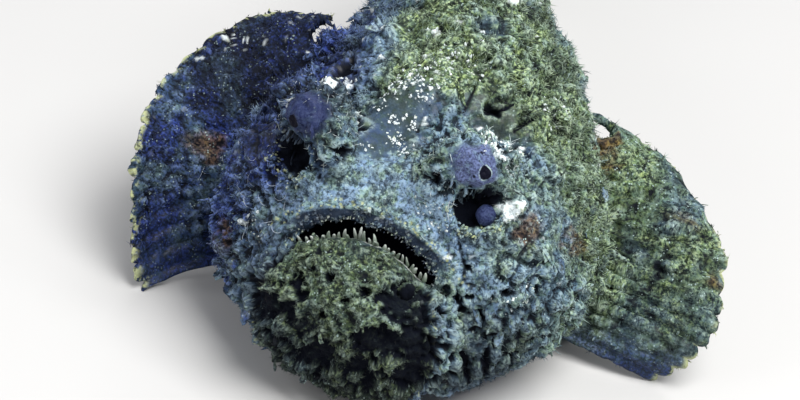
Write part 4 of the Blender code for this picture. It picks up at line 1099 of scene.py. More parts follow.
def fine_fin(root, tip, form, bow=(0, 0, 0), rows=46, steps=10):
    """(points, faces, edge) of a closed fin of two faces, its rays as ridges on the web, thicker towards the root."""
    rays, root_thick, tip_thick, web, notch = form
    across = np.linspace(0, 1, (rays - 1) * steps + 1)
    ridge = np.abs(np.cos(math.pi * across * (rays - 1)))
    base = np.array([root(u) for u in across])
    ends = np.array([tip(u) for u in across])
    reach = 1 - notch * (1 - ridge**0.8)
    along = np.linspace(0, 1, rows)[:, None] * reach[None]
    middle = base + (ends - base) * along[..., None] + np.array(bow) * (4 * along * (1 - along))[..., None]
    normal = np.cross(np.gradient(middle, axis=1), np.gradient(middle, axis=0))
    normal /= np.linalg.norm(normal, axis=-1)[..., None]
    share = np.linspace(0, 1, rows)[:, None]
    thick = (root_thick + (tip_thick - root_thick) * share) * (web + (1 - web) * ridge**1.5)[None]
    thick = thick * (1 - 0.75 * smooth_step(share, 0.93, 1.0)) + 0.003 * np.exp(-share / 0.06)
    middle[..., 2] = np.maximum(middle[..., 2], thick / 2)
    half = (thick / 2)[..., None] * normal
    points = np.concatenate([(middle + half).reshape(-1, 3), (middle - half).reshape(-1, 3)])
    points[:, 2] = np.maximum(points[:, 2], 0.0)
    edge = smooth_step(np.tile(np.repeat(share, len(across), axis=1).ravel(), 2), 0.88, 1.0)
    return swung(points), sheet_faces(rows, len(across)), edge


def sheet_faces(rows, columns):
    """Triangles of two like grids of points, one behind the other, joined round their rim."""
    number = np.arange(rows * columns).reshape(rows, columns)
    shift = rows * columns
    a, b, c, d = number[:-1, :-1], number[:-1, 1:], number[1:, 1:], number[1:, :-1]
    front = [np.stack(f, -1).reshape(-1, 3) for f in ((a, b, c), (a, c, d))]
    back = [f[:, ::-1] + shift for f in front]
    rim = np.array([*number[0], *number[1:, -1], *number[-1, -2::-1], *number[-2:0:-1, 0]])
    ahead = np.roll(rim, -1)
    walls = [np.stack([rim, rim + shift, ahead + shift], -1), np.stack([rim, ahead + shift, ahead], -1)]
    return np.concatenate([*front, *back, *walls])


def pectoral_lines(side):
    shortest, foremost, hindmost, top_climb = PECTORAL_SPREAD[side]
    first, last, low, high = PECTORAL_ROOT
    foot_turn, foot_reach = PECTORAL_FOOT

    def root(u):
        surface = on_side(side, first + (last - first) * u, low + (high - low) * u)
        return surface - np.array((side * ROOT_SUNK, 0, 0))

    def tip(u):
        foot = (1 - u) ** 3
        swing = math.radians(foremost + (hindmost - foremost) * u**PECTORAL_TURN + foot_turn * foot)
        climb = math.radians(-PECTORAL_DIP + (top_climb + PECTORAL_DIP) * u)
        reach = shortest + PECTORAL_BULGE * math.sin(math.pi * (0.2 + 0.6 * u)) + foot_reach * foot
        reach *= 1 - PECTORAL_TOP_SHORTER * u**4
        flat = reach * math.cos(climb)
        out, back = flat * math.cos(swing), flat * math.sin(swing)
        return root(u) + np.array((side * out, back, reach * math.sin(climb)))

    return root, tip


def pelvic_lines(side):
    first, last = PELVIC_ROOT
    start, end = PELVIC_TURNS

    def root(u):
        return np.array((side * PELVIC_OUT, FRONT_Y + first + (last - first) * u, PELVIC_HIGH))

    def tip(u):
        turn = math.radians(start + (end - start) * u)
        out, back = PELVIC_REACH
        return np.array((side * (PELVIC_OUT + out * math.cos(turn)),
                         FRONT_Y + first + 0.18 * out + back * math.sin(turn) + 0.2 * back * u, 0.0))

    return root, tip


def back_lines(run, fall=0.0):
    first, last, height, rise, back = run

    def root(u):
        return on_back(0.0, first + (last - first) * u) - np.array((0, 0, ROOT_SUNK))

    def tip(u):
        tall = height + rise * math.sin(math.pi * u) - fall * u
        return on_back(0.0, first + (last - first) * u) + np.array((0, back, tall))

    return root, tip


def anal_lines():
    first, last, height, rise, back = ANAL_RUN

    def root(u):
        station = first + (last - first) * u
        return upright(station, np.array(0.0), np.array(line(BELLY, station) + ROOT_SUNK))

    def tip(u):
        station = first + (last - first) * u
        low = max(ANAL_CLEAR, line(BELLY, station) - height - rise * math.sin(math.pi * u))
        return upright(station + back, np.array(0.0), np.array(low))

    return root, tip


def caudal_lines():
    middle = (line(BACK, TAIL_ROOT) + line(BELLY, TAIL_ROOT)) / 2
    reach = TOTAL_LENGTH - TAIL_ROOT

    def root(u):
        return np.array((0.0, FRONT_Y + TAIL_ROOT - ROOT_SUNK, middle + TAIL_ROOT_HALF_HEIGHT * (2 * u - 1)))

    def tip(u):
        turn = TAIL_FAN * (2 * u - 1)
        back = reach * (0.45 + 0.55 * math.cos(turn * 1.1))
        rise = TAIL_HALF_HEIGHT * math.sin(turn) / math.sin(TAIL_FAN)
        return np.array((0.0, FRONT_Y + TAIL_ROOT + back, middle + rise))

    return root, tip


class Share:
    """A number or colour at each point of a surface: one output of a finish's nodes, with arithmetic."""

    def __init__(self, finish, socket):
        self.finish = finish
        self.socket = socket

    def math(self, operation, first, second):
        return self.finish.node("ShaderNodeMath", {"operation": operation}, {0: first, 1: second})

    def __add__(self, other):
        return self.math("ADD", self, other)

    def __radd__(self, other):
        return self.math("ADD", other, self)

    def __sub__(self, other):
        return self.math("SUBTRACT", self, other)

    def __rsub__(self, other):
        return self.math("SUBTRACT", other, self)

    def __mul__(self, other):
        return self.math("MULTIPLY", self, other)

    def __rmul__(self, other):
        return self.math("MULTIPLY", other, self)

    def step(self, start, end, low=0.0, high=1.0):
        """Eased from low to high as the number goes from start to end."""
        inputs = {"Value": self, "From Min": start, "From Max": end, "To Min": low, "To Max": high}
        return self.finish.node("ShaderNodeMapRange", {"interpolation_type": "SMOOTHSTEP"}, inputs)


class Finish:
    """A material under way: its nodes are added through one method."""

    def __init__(self, name):
        self.material = bpy.data.materials.new(name)
        self.material.use_nodes = True
        self.tree = self.material.node_tree
        self.shader = self.tree.nodes["Principled BSDF"]

    def node(self, kind, settings, inputs, output=0):
        made = self.tree.nodes.new(kind)
        for name, value in settings.items():
            setattr(made, name, value)
        for name, value in inputs.items():
            if isinstance(value, Share):
                self.tree.links.new(value.socket, made.inputs[name])
            else:
                made.inputs[name].default_value = value
        return Share(self, made.outputs[output])

    def attribute(self, name, output=2):
        return self.node("ShaderNodeAttribute", {"attribute_name": name}, {}, output)

    def cloud(self, place, size, detail=3.0, output=0):
        """Noise with lumps of a size in metres."""
        inputs = {"Vector": place, "Scale": 1 / size, "Detail": detail, "Roughness": 0.6}
        return self.node("ShaderNodeTexNoise", {}, inputs, output)

    def cells(self, place, size):
        """Distance from the middles of cells of a size in metres, in sizes."""
        return self.node("ShaderNodeTexVoronoi", {}, {"Vector": place, "Scale": 1 / size})

    def mix(self, share, first, second, blend="MIX"):
        settings = {"data_type": "RGBA", "blend_type": blend, "clamp_factor": True}
        return self.node("ShaderNodeMix", settings, {0: share, 6: first, 7: second}, 2)

    def end(self, **inputs):
        """Sets the shader's sockets; _ stands for a space in their names."""
        for name, value in inputs.items():
            socket = self.shader.inputs[name.replace("_", " ")]
            if isinstance(value, Share):
                self.tree.links.new(value.socket, socket)
            else:
                socket.default_value = value
        return self.material


def solid(colour):
    return (*colour, 1.0)


def fish_colour(finish, colours):
    """The colour of the fish at each point: slate skin under turf, with violet, rusty and pale marks, black specks,
    painted blue shade on its right side, painted shade, painted black shadow in its hollows and painted highlights on
    its crests.
    """
    place = finish.attribute("place", 1)
    bare, turf, violet, lip, strip, gold, bright = (
        finish.attribute(n) for n in ("bare", "turf", "violet", "lip", "strip", "gold", "bright"))
    cavity, along, edge, luck = (finish.attribute(n) for n in ("cavity", "along", "edge", "luck"))
    broad, middling, fine = finish.cloud(place, 0.012), finish.cloud(place, 0.0035), finish.cloud(place, 0.0009)
    specks, frost_cells = finish.cells(place, 0.0011), finish.cells(place, 0.0016)
    slate = finish.mix(middling.step(0.35, 0.65), solid(colours.slate_deep), solid(colours.slate))
    slate = finish.mix(gold * 0.85, slate, finish.mix(middling.step(0.35, 0.65), solid(colours.olive_deep),
                                                      solid(colours.olive)))
    sea = finish.mix(middling.step(0.38, 0.62), solid(colours.sea_deep), solid(colours.sea))
    # Painted light: the turf of the snout and back is made paler where it lies in light
    sea = finish.mix(bright * (0.25 + 0.75 * fine.step(0.36, 0.58)), sea, solid(colours.sea_in_painted_light))
    moss = finish.mix(middling.step(0.38, 0.62), solid(colours.moss_deep), solid(colours.moss))
    # Paler blade tips, at random and more so in the painted light
    tips = fine.step(0.46, 0.64) * (0.25 + 0.45 * broad.step(0.4, 0.6) + 0.80 * bright)
    moss = finish.mix(tips * (1 - 0.5 * broad.step(0.60, 0.40)), moss, solid(colours.moss_tip))
    moss = finish.mix((gold * 1.1).step(0.15, 0.75), sea, moss)
    colour = finish.mix((turf * 1.2).step(0.10, 0.80), slate, moss)
    # Painted blue shade on the fish's right side, violet low on the body, and violet patches on the trunk
    blue = finish.mix(fine.step(0.42, 0.66), solid(colours.violet_deep), solid(colours.violet))
    colour = finish.mix(violet * (0.82 + 0.18 * middling.step(0.35, 0.65)), colour, blue)
    rust = finish.mix(fine.step(0.4, 0.65), solid(colours.rust_deep), solid(colours.rust))
    colour = finish.mix(finish.attribute("rust") * (0.80 - 0.5 * bare), colour, rust)
    # Rise: high on crests of the relief and at blade tips, low in hollows and at blade roots, with a little chance
    rise = cavity + along * 0.65 + (luck - 0.5) * 0.6
    # Painted highlight on crests and blade tips, bluer on the violet side and golden on the golden turf
    painted_highlight = rise.step(0.05, 0.75) * (0.20 + 0.80 * fine.step(0.40, 0.58)) * (0.80 - 0.25 * violet)
    light = finish.mix(violet, solid(colours.highlight_green), solid(colours.violet_highlight))
    colour = finish.mix(painted_highlight * (1 - 0.6 * gold), colour, light)
    colour = finish.mix(painted_highlight * gold * 0.8, colour, solid(colours.gold_highlight))
    warm, cool = finish.cloud(place, 0.0027), finish.cloud(place, 0.0017)
    colour = finish.mix(warm.step(0.50, 0.60) * 0.65, colour, solid(colours.warm_tint), "MULTIPLY")
    colour = finish.mix(cool.step(0.50, 0.40) * 0.65, colour, solid(colours.cool_tint), "MULTIPLY")
    # Painted shade in hollows and at the roots of the blades, less in the painted light
    painted_hollow_shade = rise.step(-0.05, -0.50, 0.0, 0.93) * (1 - 0.35 * bright)
    colour = finish.mix(painted_hollow_shade, colour, solid(colours.shadow))
    grit = fine.step(0.36, 0.47, 0.80, 0.0) * (1 - 0.8 * bare) * (1 - 0.45 * bright)
    colour = finish.mix(grit, colour, solid(colours.shadow))
    blots = finish.cloud(place, 0.0021).step(0.36, 0.45, 0.62, 0.0) * (1 - 0.85 * bare)
    colour = finish.mix(blots, colour, solid(colours.shadow))
    # Painted shade, with the dark saddles of the trunk's pattern
    shade = finish.attribute("shade") * (0.94 - 0.25 * fine.step(0.55, 0.65))
    colour = finish.mix(shade, colour, solid(colours.shadow))
    # The dome on the fish's right side gets painted shade
    side = finish.node("ShaderNodeSeparateXYZ", {}, {0: place})
    dome = eye_skin(finish, place, colours, side.step(-0.004, 0.004, 0.80, 0.0))
    colour = finish.mix(finish.attribute("dome"), colour, dome)
    flecks = specks.step(0.16, 0.30, 1.0, 0.0) * middling.step(0.50, 0.58) * (0.9 - 0.55 * bare - 0.3 * violet)
    colour = finish.mix(flecks * (1 - 0.6 * shade), colour, solid(colours.fleck))
    cream = finish.mix(middling.step(0.50, 0.60) * 0.8, solid(colours.pale), solid(colours.lemon))
    frost = frost_cells.step(0.14, 0.30, 1.0, 0.0) * fine.step(0.46, 0.52)
    colour = finish.mix(frost * finish.attribute("frost") * 0.8, colour, cream)
    white = finish.mix(middling.step(0.56, 0.64) * 0.45, solid(colours.pale), solid(colours.lemon))
    colour = finish.mix(finish.attribute("pale") * fine.step(0.26, 0.36), colour, white)
    warty = strip * frost_cells.step(0.20, 0.38, 1.0, 0.0) * 0.75
    colour = finish.mix(warty, colour, solid(colours.lemon))
    colour = finish.mix(edge * middling.step(0.45, 0.58) * 0.7, colour, solid(colours.lemon))
    ridge = finish.attribute("margin").step(0.86, 0.98)
    colour = finish.mix(ridge * 0.85, colour, solid(colours.papilla))
    # Painted highlight on the knobs of the dark lip
    lip_highlights = rise.step(0.05, 0.35) * fine.step(0.46, 0.60) * middling.step(0.40, 0.55)
    colour = finish.mix(lip * (0.98 - 0.50 * lip_highlights), colour, solid(colours.lip))
    # Painted shadow in the hollows, folds, pits and mouth
    colour = finish.mix(finish.attribute("dark"), colour, solid(colours.shadow))
    return colour, place, middling, fine


def eye_skin(finish, place, colours, shaded):
    """Violet-grey skin with a few black dots, of the eyes and their domes, darker where it lies in shade."""
    fine, coarse = finish.cloud(place, 0.0006), finish.cloud(place, 0.0024)
    skin = finish.mix(fine.step(0.35, 0.65), solid(colours.eye_violet_deep), solid(colours.eye_violet))
    skin = finish.mix(coarse.step(0.50, 0.66) * 0.5, skin, solid(colours.sea))
    dots = finish.cells(place, 0.0026).step(0.16, 0.26, 0.95, 0.0) * finish.cloud(place, 0.003).step(0.44, 0.52)
    skin = finish.mix(dots, skin, solid(colours.shadow))
    skin = finish.mix(fine.step(0.40, 0.30) * 0.7, skin, solid(colours.shadow))
    return finish.mix(shaded, skin, solid(colours.violet_deep))


def skin_finish(colours):
    finish = Finish("stonefish skin")
    colour, place, middling, fine = fish_colour(finish, colours)
    bare, lip = finish.attribute("bare"), finish.attribute("lip")
    pores = finish.cells(place, 0.0007)
    rise = fine * (1.2 - bare) + 0.35 * pores + 0.25 * finish.cloud(place, 0.0004)
    normal = finish.node("ShaderNodeBump", {}, {"Strength": 0.8, "Distance": 0.0005, "Height": rise})
    rough = 0.66 - 0.22 * bare + 0.12 * middling + 0.35 * finish.attribute("dark")
    gloss = bare * (1 - finish.attribute("dark")) * (1 - finish.attribute("dome")) * (0.28 - 0.20 * lip)
    return finish.end(Base_Color=colour, Roughness=rough, Normal=normal, Specular_IOR_Level=0.12, Coat_Weight=gloss,
                      Coat_Roughness=0.32)


def coat_finish(colours):
    finish = Finish("stonefish coat")
    colour, _, _, _ = fish_colour(finish, colours)
    return finish.end(Base_Color=colour, Roughness=0.6, Specular_IOR_Level=0.20)


def papilla_finish(colours):
    finish = Finish("stonefish lip papillae")
    place, along, violet = finish.attribute("place", 1), finish.attribute("along"), finish.attribute("violet")
    grain = finish.cloud(place, 0.0012)
    colour = finish.mix(along.step(0.1, 0.9), solid(colours.papilla_root), solid(colours.papilla))
    colour = finish.mix(grain.step(0.4, 0.7, 0.0, 0.6), colour, solid(colours.moss))
    colour = finish.mix(violet * finish.attribute("luck").step(0.75, 0.55), colour, solid(colours.lip))
    return finish.end(Base_Color=colour, Roughness=0.4, Coat_Weight=0.15)


def eye_finish(colours):
    """Skin that runs over the eye, with a small pupil in a pale ring."""
    finish = Finish("stonefish eye")
    fall = finish.attribute("fall")
    place = finish.attribute("place", 1)
    fine = finish.cloud(place, 0.0009)
    shaded = finish.attribute("shaded")
    skin = eye_skin(finish, place, colours, shaded)
    edge = fall + (fine - 0.5) * 0.14
    ring = edge.step(0.38, 0.42) * edge.step(0.52, 0.45) * fine.step(0.42, 0.60) * (0.80 - 1.0 * shaded)
    colour = finish.mix(ring, skin, solid(colours.fleck))
    colour = finish.mix(edge.step(0.42, 0.38), colour, solid(colours.pupil))
    normal = finish.node("ShaderNodeBump", {}, {"Strength": 0.9, "Distance": 0.0006, "Height": fine})
    return finish.end(Base_Color=colour, Roughness=0.55, Specular_IOR_Level=0.08, Normal=normal)


def floor_finish(colour):
    finish = Finish("stage floor")
    return finish.end(Base_Color=solid(colour), Roughness=0.9, Specular_IOR_Level=0.2)


def colour_of(name, default, description):
    return FloatVectorProperty(name=name, description=description, subtype="COLOR", size=3, min=0, max=1,
                               default=default)


class StonefishColours(bpy.types.PropertyGroup):
    slate: colour_of("Slate", (0.048, 0.092, 0.205), "Bare skin")
    slate_deep: colour_of("Deep slate", (0.034, 0.060, 0.090), "Bare skin in its darker patches")
    olive: colour_of("Olive", (0.098, 0.138, 0.078), "Bare skin of the nape")
    olive_deep: colour_of("Deep olive", (0.046, 0.066, 0.040), "Bare skin of the nape in its darker patches")
    sea: colour_of("Sea green", (0.178, 0.270, 0.338), "Turf of the face")
    sea_deep: colour_of("Deep sea green", (0.044, 0.085, 0.116), "Turf of the face in its darker patches")
    # Turf of the snout and back in painted light
    sea_in_painted_light: colour_of("Mist", (0.330, 0.475, 0.650), "Palest turf of the snout")
    moss: colour_of("Moss", (0.142, 0.212, 0.140), "Turf of the back and chin")
    moss_deep: colour_of("Deep moss", (0.040, 0.062, 0.028), "Turf of the back and chin in its darker patches")
    # Tips of the turf, paler at random and more so in the painted light
    moss_tip: colour_of("Moss tips", (0.460, 0.575, 0.320), "Brightest turf")
    # Painted highlight on the turf of the back and chin
    gold_highlight: colour_of("Golden tips", (0.465, 0.570, 0.370), "Tips of the turf of the back and chin")
    # Painted blue shade on the fish's right side, also violet low on the body and violet patches on the trunk; the deep
    # one also gives the painted shade of the eye on that side, the tip one its painted highlight
    violet: colour_of("Violet", (0.031, 0.056, 0.275), "Violet side of the face")
    violet_deep: colour_of("Deep violet", (0.008, 0.014, 0.060), "Violet side in its darker patches")
    violet_highlight: colour_of("Violet tips", (0.180, 0.270, 0.660), "Crests of the violet side")
    eye_violet: colour_of("Eye violet", (0.138, 0.176, 0.335), "Skin of the eye domes")
    eye_violet_deep: colour_of("Deep eye violet", (0.050, 0.062, 0.130), "Skin of the eye domes in darker patches")
    rust: colour_of("Rust", (0.230, 0.130, 0.055), "Rusty blotches")
    rust_deep: colour_of("Deep rust", (0.070, 0.038, 0.020), "Rusty blotches in their darker patches")
    pale: colour_of("White", (0.850, 0.920, 0.930), "White patches")
    lemon: colour_of("Lemon", (0.620, 0.660, 0.330), "Yellowish flecks and fin tips")
    fleck: colour_of("Flecks", (0.420, 0.540, 0.520), "Small pale specks on the rough skin")
    lip: colour_of("Lip", (0.011, 0.020, 0.038), "Bare band of the upper lip")
    pupil: colour_of("Pupil", (0.003, 0.003, 0.010), "Pupil of the eye")
    # Painted highlight on the tops of warts and the tips of the coat
    highlight_green: colour_of("Pale green", (0.345, 0.465, 0.515), "Tops of warts and tips of the coat")
    warm_tint: colour_of("Warm tint", (0.960, 1.000, 0.620), "What the greener patches are multiplied by")
    cool_tint: colour_of("Cool tint", (0.780, 0.860, 1.000), "What the bluer patches are multiplied by")
    # Painted shadow and shade in hollows, folds and shaded parts, also black specks and dots
    shadow: colour_of("Black", (0.0030, 0.0042, 0.0090), "Hollows and folds")
    papilla: colour_of("Papilla", (0.430, 0.460, 0.430), "Tips of the lip papillae")
    papilla_root: colour_of("Papilla root", (0.150, 0.175, 0.140), "Roots of the lip papillae")
    floor: colour_of("Floor", (0.600, 0.592, 0.578), "Floor of the stage")


class StonefishSizes(bpy.types.PropertyGroup):
    voxel: FloatProperty(name="Skin mesh", description="Edge length of the skin's even mesh", default=0.00078,
                         min=0.0005, max=0.004, unit="LENGTH", precision=5)
    columns: IntProperty(name="Columns", description="Points round the body before the even mesh", default=400, min=60)
    warts: FloatProperty(name="Warts", description="Height of the warts, as a share", default=1.0, min=0, max=3,
                         subtype="FACTOR")
    tufts: IntProperty(name="Tufts", description="Tufts in each piece of turf", default=3800, min=1, max=20000)
    blades: IntProperty(name="Blades", description="Blades in a tuft", default=5, min=1, max=9)
    turf_pieces: IntProperty(name="Turf pieces", description="How many pieces the turf is made in", default=5, min=1)
    turf_length: FloatProperty(name="Turf length", description="Length of a blade of turf", default=0.0013,
                               min=0.0002, max=0.01, unit="LENGTH", precision=5)
    flaps: IntProperty(name="Flaps", description="Leaf-like skin flaps", default=1500, min=1, max=5000)
    flap_length: FloatProperty(name="Flap length", description="Length of a large skin flap", default=0.0036,
                               min=0.001, max=0.02, unit="LENGTH", precision=5)
    threads: IntProperty(name="Threads", description="Pale threads round the eyes", default=320, min=1)
    crumbs: IntProperty(name="Crumbs", description="Pale crumbs on the bare skin", default=800, min=1, max=5000)
    papillae: IntProperty(name="Papillae", description="Papillae along the lower lip", default=26, min=3, max=60)
    papilla_length: FloatProperty(name="Papilla length", description="Length of a lip papilla", default=0.0031,
                                  min=0.001, max=0.01, unit="LENGTH", precision=5)


class StonefishStage(bpy.types.PropertyGroup):
    key_power: FloatProperty(name="Key light", description="Power of the large light above", default=26.0, min=0,
                             unit="POWER")
    fill_power: FloatProperty(name="Fill light", description="Power of the light on the fish's right", default=6.0,
                              min=0, unit="POWER")
    floor_width: FloatProperty(name="Floor", description="Width of the floor", default=6.0, min=1, unit="LENGTH")


def dressed(piece, material, slot, *nodes):
    """Gives a piece its finish and its place on the body, and hides the solids it stands for."""
    piece.data.materials.clear()
    piece.data.materials.append(material)
    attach(piece, "root")
    if nodes:
        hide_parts(*nodes)
    return piece


def material_of(name, make, *values):
    return bpy.data.materials.get(name) or make(*values)


def tree_of(forms):
    """(points, faces) of several forms as one tree to cast rays on."""
    points, faces = [], []
    for more, corners in forms:
        faces.append(np.asarray(corners) + sum(len(p) for p in points))
        points.append(more)
    return BVHTree.FromPolygons(np.concatenate(points).tolist(), np.concatenate(faces).tolist())


def pectoral_form(side):
    return fine_fin(*pectoral_lines(side), PECTORAL, np.array(PECTORAL_BOW) * (side, 1, 1))


def skin_tree(piece):
    """The skin and the pectoral fins as one tree."""
    points, _, corners = arrays(piece)
    return tree_of([(points, corners), *(pectoral_form(side)[:2] for side in (1, -1))])


class STONEFISH_OT_skin(bpy.types.Operator):
    """Make the warty skin of the head, jaw and body as one surface"""

    bl_idname = "stonefish.skin"
    bl_label = "Skin"

    def execute(self, context):
        sizes = context.scene.stonefish_sizes
        tree = tree_of([body_shell(240), jaw_shell(240)])
        skin = built("skin", *body_shell(sizes.columns))
        forms = [built("jaw", *jaw_shell(sizes.columns)), built("lip roll", *lip_roll())]
        for side in (1, -1):
            forms += eye_forms(side)
        for pixel in NOSTRIL_PIXELS:
            place, normal = seen(tree, pixel)
            forms.append(built("nostril", *ring_of_skin(place + normal * 0.0006, normal, 0.0016, 0.0007, 28, 10)))
        fused(skin, gathered("cut", pit_cutters()), gathered("joined", forms), sizes.voxel)
        points, _, corners = arrays(skin)
        skin.data.vertices.foreach_set("co", smoothed(points, corners, 2).astype(np.float32).ravel())
        skin.data.update()
        keep_values(skin, edge=np.zeros(len(points)))
        displaced(skin, Marks(skin_tree(skin)), sizes.warts)
        finish = material_of("stonefish skin", skin_finish, context.scene.stonefish_colours)
        dressed(skin, finish, "warty_skin", "head", "lower_jaw", "torso", "tail_stock")
        return {"FINISHED"}


class STONEFISH_OT_fins(bpy.types.Operator):
    """Make the ribbed fins"""

    bl_idname = "stonefish.fins"
    bl_label = "Fins"

    def execute(self, context):
        scene = context.scene
        finish = material_of("stonefish skin", skin_finish, scene.stonefish_colours)
        marks = Marks(skin_tree(scene.objects["skin"]))
        made = [
            ("dorsal_fin_spiny", *back_lines(SPINES_RUN, SPINES_FALL), SPINY_DORSAL, (0, 0, 0)),
            ("dorsal_fin_soft", *back_lines(SOFT_DORSAL_RUN), SOFT_DORSAL, (0, 0, 0)),
            ("anal_fin", *anal_lines(), ANAL, (0, 0, 0)),
            ("caudal_fin", *caudal_lines(), CAUDAL, (0, 0, 0)),
        ]
        for side, word in ((1, "left"), (-1, "right")):
            made.append((f"pectoral_fin_{word}", *pectoral_lines(side), PECTORAL, np.array(PECTORAL_BOW) * (side, 1, 1)))
            made.append((f"pelvic_fin_{word}", *pelvic_lines(side), PELVIC, (0, 0, 0)))
        for node, root, tip, form, bow in made:
            points, faces, edge = fine_fin(root, tip, form, bow)
            fin = built(node.replace("_fin", "_fin_skin"), points, faces, edge=edge)
            displaced(fin, marks, scene.stonefish_sizes.warts, 0.45)
            dressed(fin, finish, "fin_skin", node)
        return {"FINISHED"}


class STONEFISH_OT_eyes(bpy.types.Operator):
    """Make the two small eyes in their domes of skin"""

    bl_idname = "stonefish.eyes"
    bl_label = "Eyes"

    def execute(self, context):
        finish = material_of("stonefish eye", eye_finish, context.scene.stonefish_colours)
        for side, word in ((1, "left"), (-1, "right")):
            looks = np.array(EYE_LOOKS) * (side, 1, 1)
            looks = looks / np.linalg.norm(looks)
            centre = np.array(EYE_CENTRE) * (side, 1, 1)
            points, faces = ball(centre, EYE_RADIUS, looks, 60, 90)
            pupil, across_pupil, _ = facing(PUPIL_LOOKS[side])
            fall = np.arccos(np.clip((points - centre) @ pupil / EYE_RADIUS, -1, 1))
            across = (points - centre) @ across_pupil / EYE_RADIUS
            fall = np.sqrt(fall**2 + 0.9 * across**2)
            points = points - pupil * (0.0005 * np.exp(-((fall / 0.26) ** 2)))[:, None]
            points += (points - centre) / EYE_RADIUS * lumps(points)[:, None]
            shaded = np.full(len(points), 0.0 if side > 0 else 0.78)
            eye = built(f"eye_{word}_ball", points, faces, fall=fall, shaded=shaded, place=points)
            dressed(eye, finish, "eye", f"eye_{word}")
        place, normal = seen(skin_tree(context.scene.objects["skin"]), PEARL_PIXEL)
        points, faces = ball(place + normal * 0.0016, PEARL_RADIUS, normal, 40, 60)
        points += (points - place) * (0.06 * noise(points, 0.0018, 61))[:, None]
        one = np.ones(len(points))
        pearl = built("pit_knob", points, faces, fall=one, shaded=one * 0.72, place=points)
        dressed(pearl, finish, "eye")
        return {"FINISHED"}


class STONEFISH_OT_lips(bpy.types.Operator):
    """Make the fringe of papillae along the lower lip and the beads along the upper one"""

    bl_idname = "stonefish.lips"
    bl_label = "Lip papillae"

    def execute(self, context):
        sizes = context.scene.stonefish_sizes
        draw = np.random.default_rng(31)
        finish = material_of("stonefish lip papillae", papilla_finish, context.scene.stonefish_colours)
        upper, lower = mouth_outline(1440), lower_lip(1440)
        around = np.arctan2(upper[:, 0], upper[:, 2] - CHIN_HEIGHT)
        order = np.argsort(around)

        def at(rim, turns):
            return np.stack([np.interp(turns, around[order], rim[order, a]) for a in range(3)], axis=-1)

        for name, rim, count, span, length, wide, lean in (
            ("lower_lip_papillae", lower, sizes.papillae, 54, sizes.papilla_length, 0.00062, 1),
            ("upper_lip_beads", upper, 4 * sizes.papillae, 56, 0.00050, 0.00024, -1),
        ):
            turns = np.radians(np.linspace(-span, span, count) + draw.normal(size=count) * span / count * 0.5)
            out = outward(at(upper, turns))
            if lean > 0:
                roots = at(rim, turns) + out * 0.0005 + (0, -0.0010, 0)
                towards = out * 0.40 + (0, -0.28, 0.8) + draw.normal(size=out.shape) * 0.20
                tall = length * draw.uniform(0.35, 1.30, count) * (0.45 + 0.55 * np.cos(turns * 1.2))
            else:
                low = draw.uniform(0.35, 1.0, count) * lip_width(np.abs(turns))
                roots = at(rim, turns) - out * low[:, None] + (0, -0.0014, 0)
                towards = -0.4 * out + (0, -0.9, 0) + draw.normal(size=out.shape) * 0.3
                tall = length * draw.uniform(0.6, 1.3, count)
            bend = draw.normal(size=out.shape) * 0.16 + (0, -0.10, 0)
            thick = wide * draw.uniform(0.75, 1.3, count)
            values = {"place": roots, "violet": np.full(count, float(lean < 0)), "luck": draw.uniform(size=count)}
            piece = sprouts(name, roots, towards, tall, thick, bend, CONE, 12, 1.0, draw, values)
            dressed(piece, finish, "warty_skin")
        return {"FINISHED"}


def wandering(draw):
    """Paths, in pixels, of the loose pale threads on the right cheek: they run down and outwards from the pit."""
    left, top, right, bottom = VEIN_FIELD
    for _ in range(40):
        place = np.array((draw.uniform(left, right), draw.uniform(top, bottom)))
        heading, curl = math.radians(draw.normal(148, 34)), draw.normal() * 0.30
        path = [place]
        for _ in range(draw.integers(4, 9)):
            heading += curl + draw.normal() * 0.15
            path.append(path[-1] + 2.6 * np.array((math.cos(heading), math.sin(heading))))
        yield path, draw.uniform(0.00005, 0.00010)


class STONEFISH_OT_veins(bpy.types.Operator):
    """Lay the pale raised threads of skin on the face"""

    bl_idname = "stonefish.veins"
    bl_label = "Pale threads of skin"

    def execute(self, context):
        finish = material_of("stonefish coat", coat_finish, context.scene.stonefish_colours)
        tree, plain = skin_tree(context.scene.objects["skin"]), tree_of([body_shell(240)])
        draw = np.random.default_rng(17)
        points, faces = [], []
        for path, radius in [*VEIN_PIXELS, *wandering(draw)]:
            path = np.array(path, float)
            steps = np.linspace(0, len(path) - 1, 5 * len(path))
            pixels = np.stack([np.interp(steps, np.arange(len(path)), path[:, a]) for a in (0, 1)], axis=-1)
            places, normals = (np.array(found) for found in zip(*[seen(tree, p) for p in pixels]))
            if np.linalg.norm(np.diff(places, axis=0), axis=1).max() > 0.0018 or in_pits(places, plain).max() > 0.1:
                continue  # it would leap over a hollow
            for _ in range(3):
                places[1:-1] = (places[:-2] + 2 * places[1:-1] + places[2:]) / 4
                normals[1:-1] = (normals[:-2] + 2 * normals[1:-1] + normals[2:]) / 4
            ahead = np.gradient(places, axis=0)
            side = np.cross(ahead, normals)
            side /= np.linalg.norm(side, axis=1)[:, None]
            thick = radius * (0.25 + np.sin(math.pi * np.linspace(0.03, 0.97, len(places)))) * draw.uniform(0.7, 1.2, len(places))
            turns = np.arange(8) * 2 * math.pi / 8
            rings = [p + t * (np.cos(turns)[:, None] * a + np.sin(turns)[:, None] * n)
                     for p, a, n, t in zip(places, side, normals, thick)]
            more, corners = tube_of_rings(rings)
            faces.append(corners + sum(len(p) for p in points))
            points.append(more)
        points = np.concatenate(points)
        zero = np.zeros(len(points))
        # The threads take a painted highlight as raised crests, and painted blue shade on the fish's right side
        values = {name: zero for name in MARKINGS} | {"pale": zero + 0.45, "cavity": zero + 0.3, "luck": zero + 0.5}
        values |= {"violet": smooth_step(-points[:, 0], -0.010, 0.010) * 0.8}
        veins = built("pale_threads", points, np.concatenate(faces), place=points, along=zero + 0.5, **values)
        dressed(veins, finish, "warty_skin")
        return {"FINISHED"}


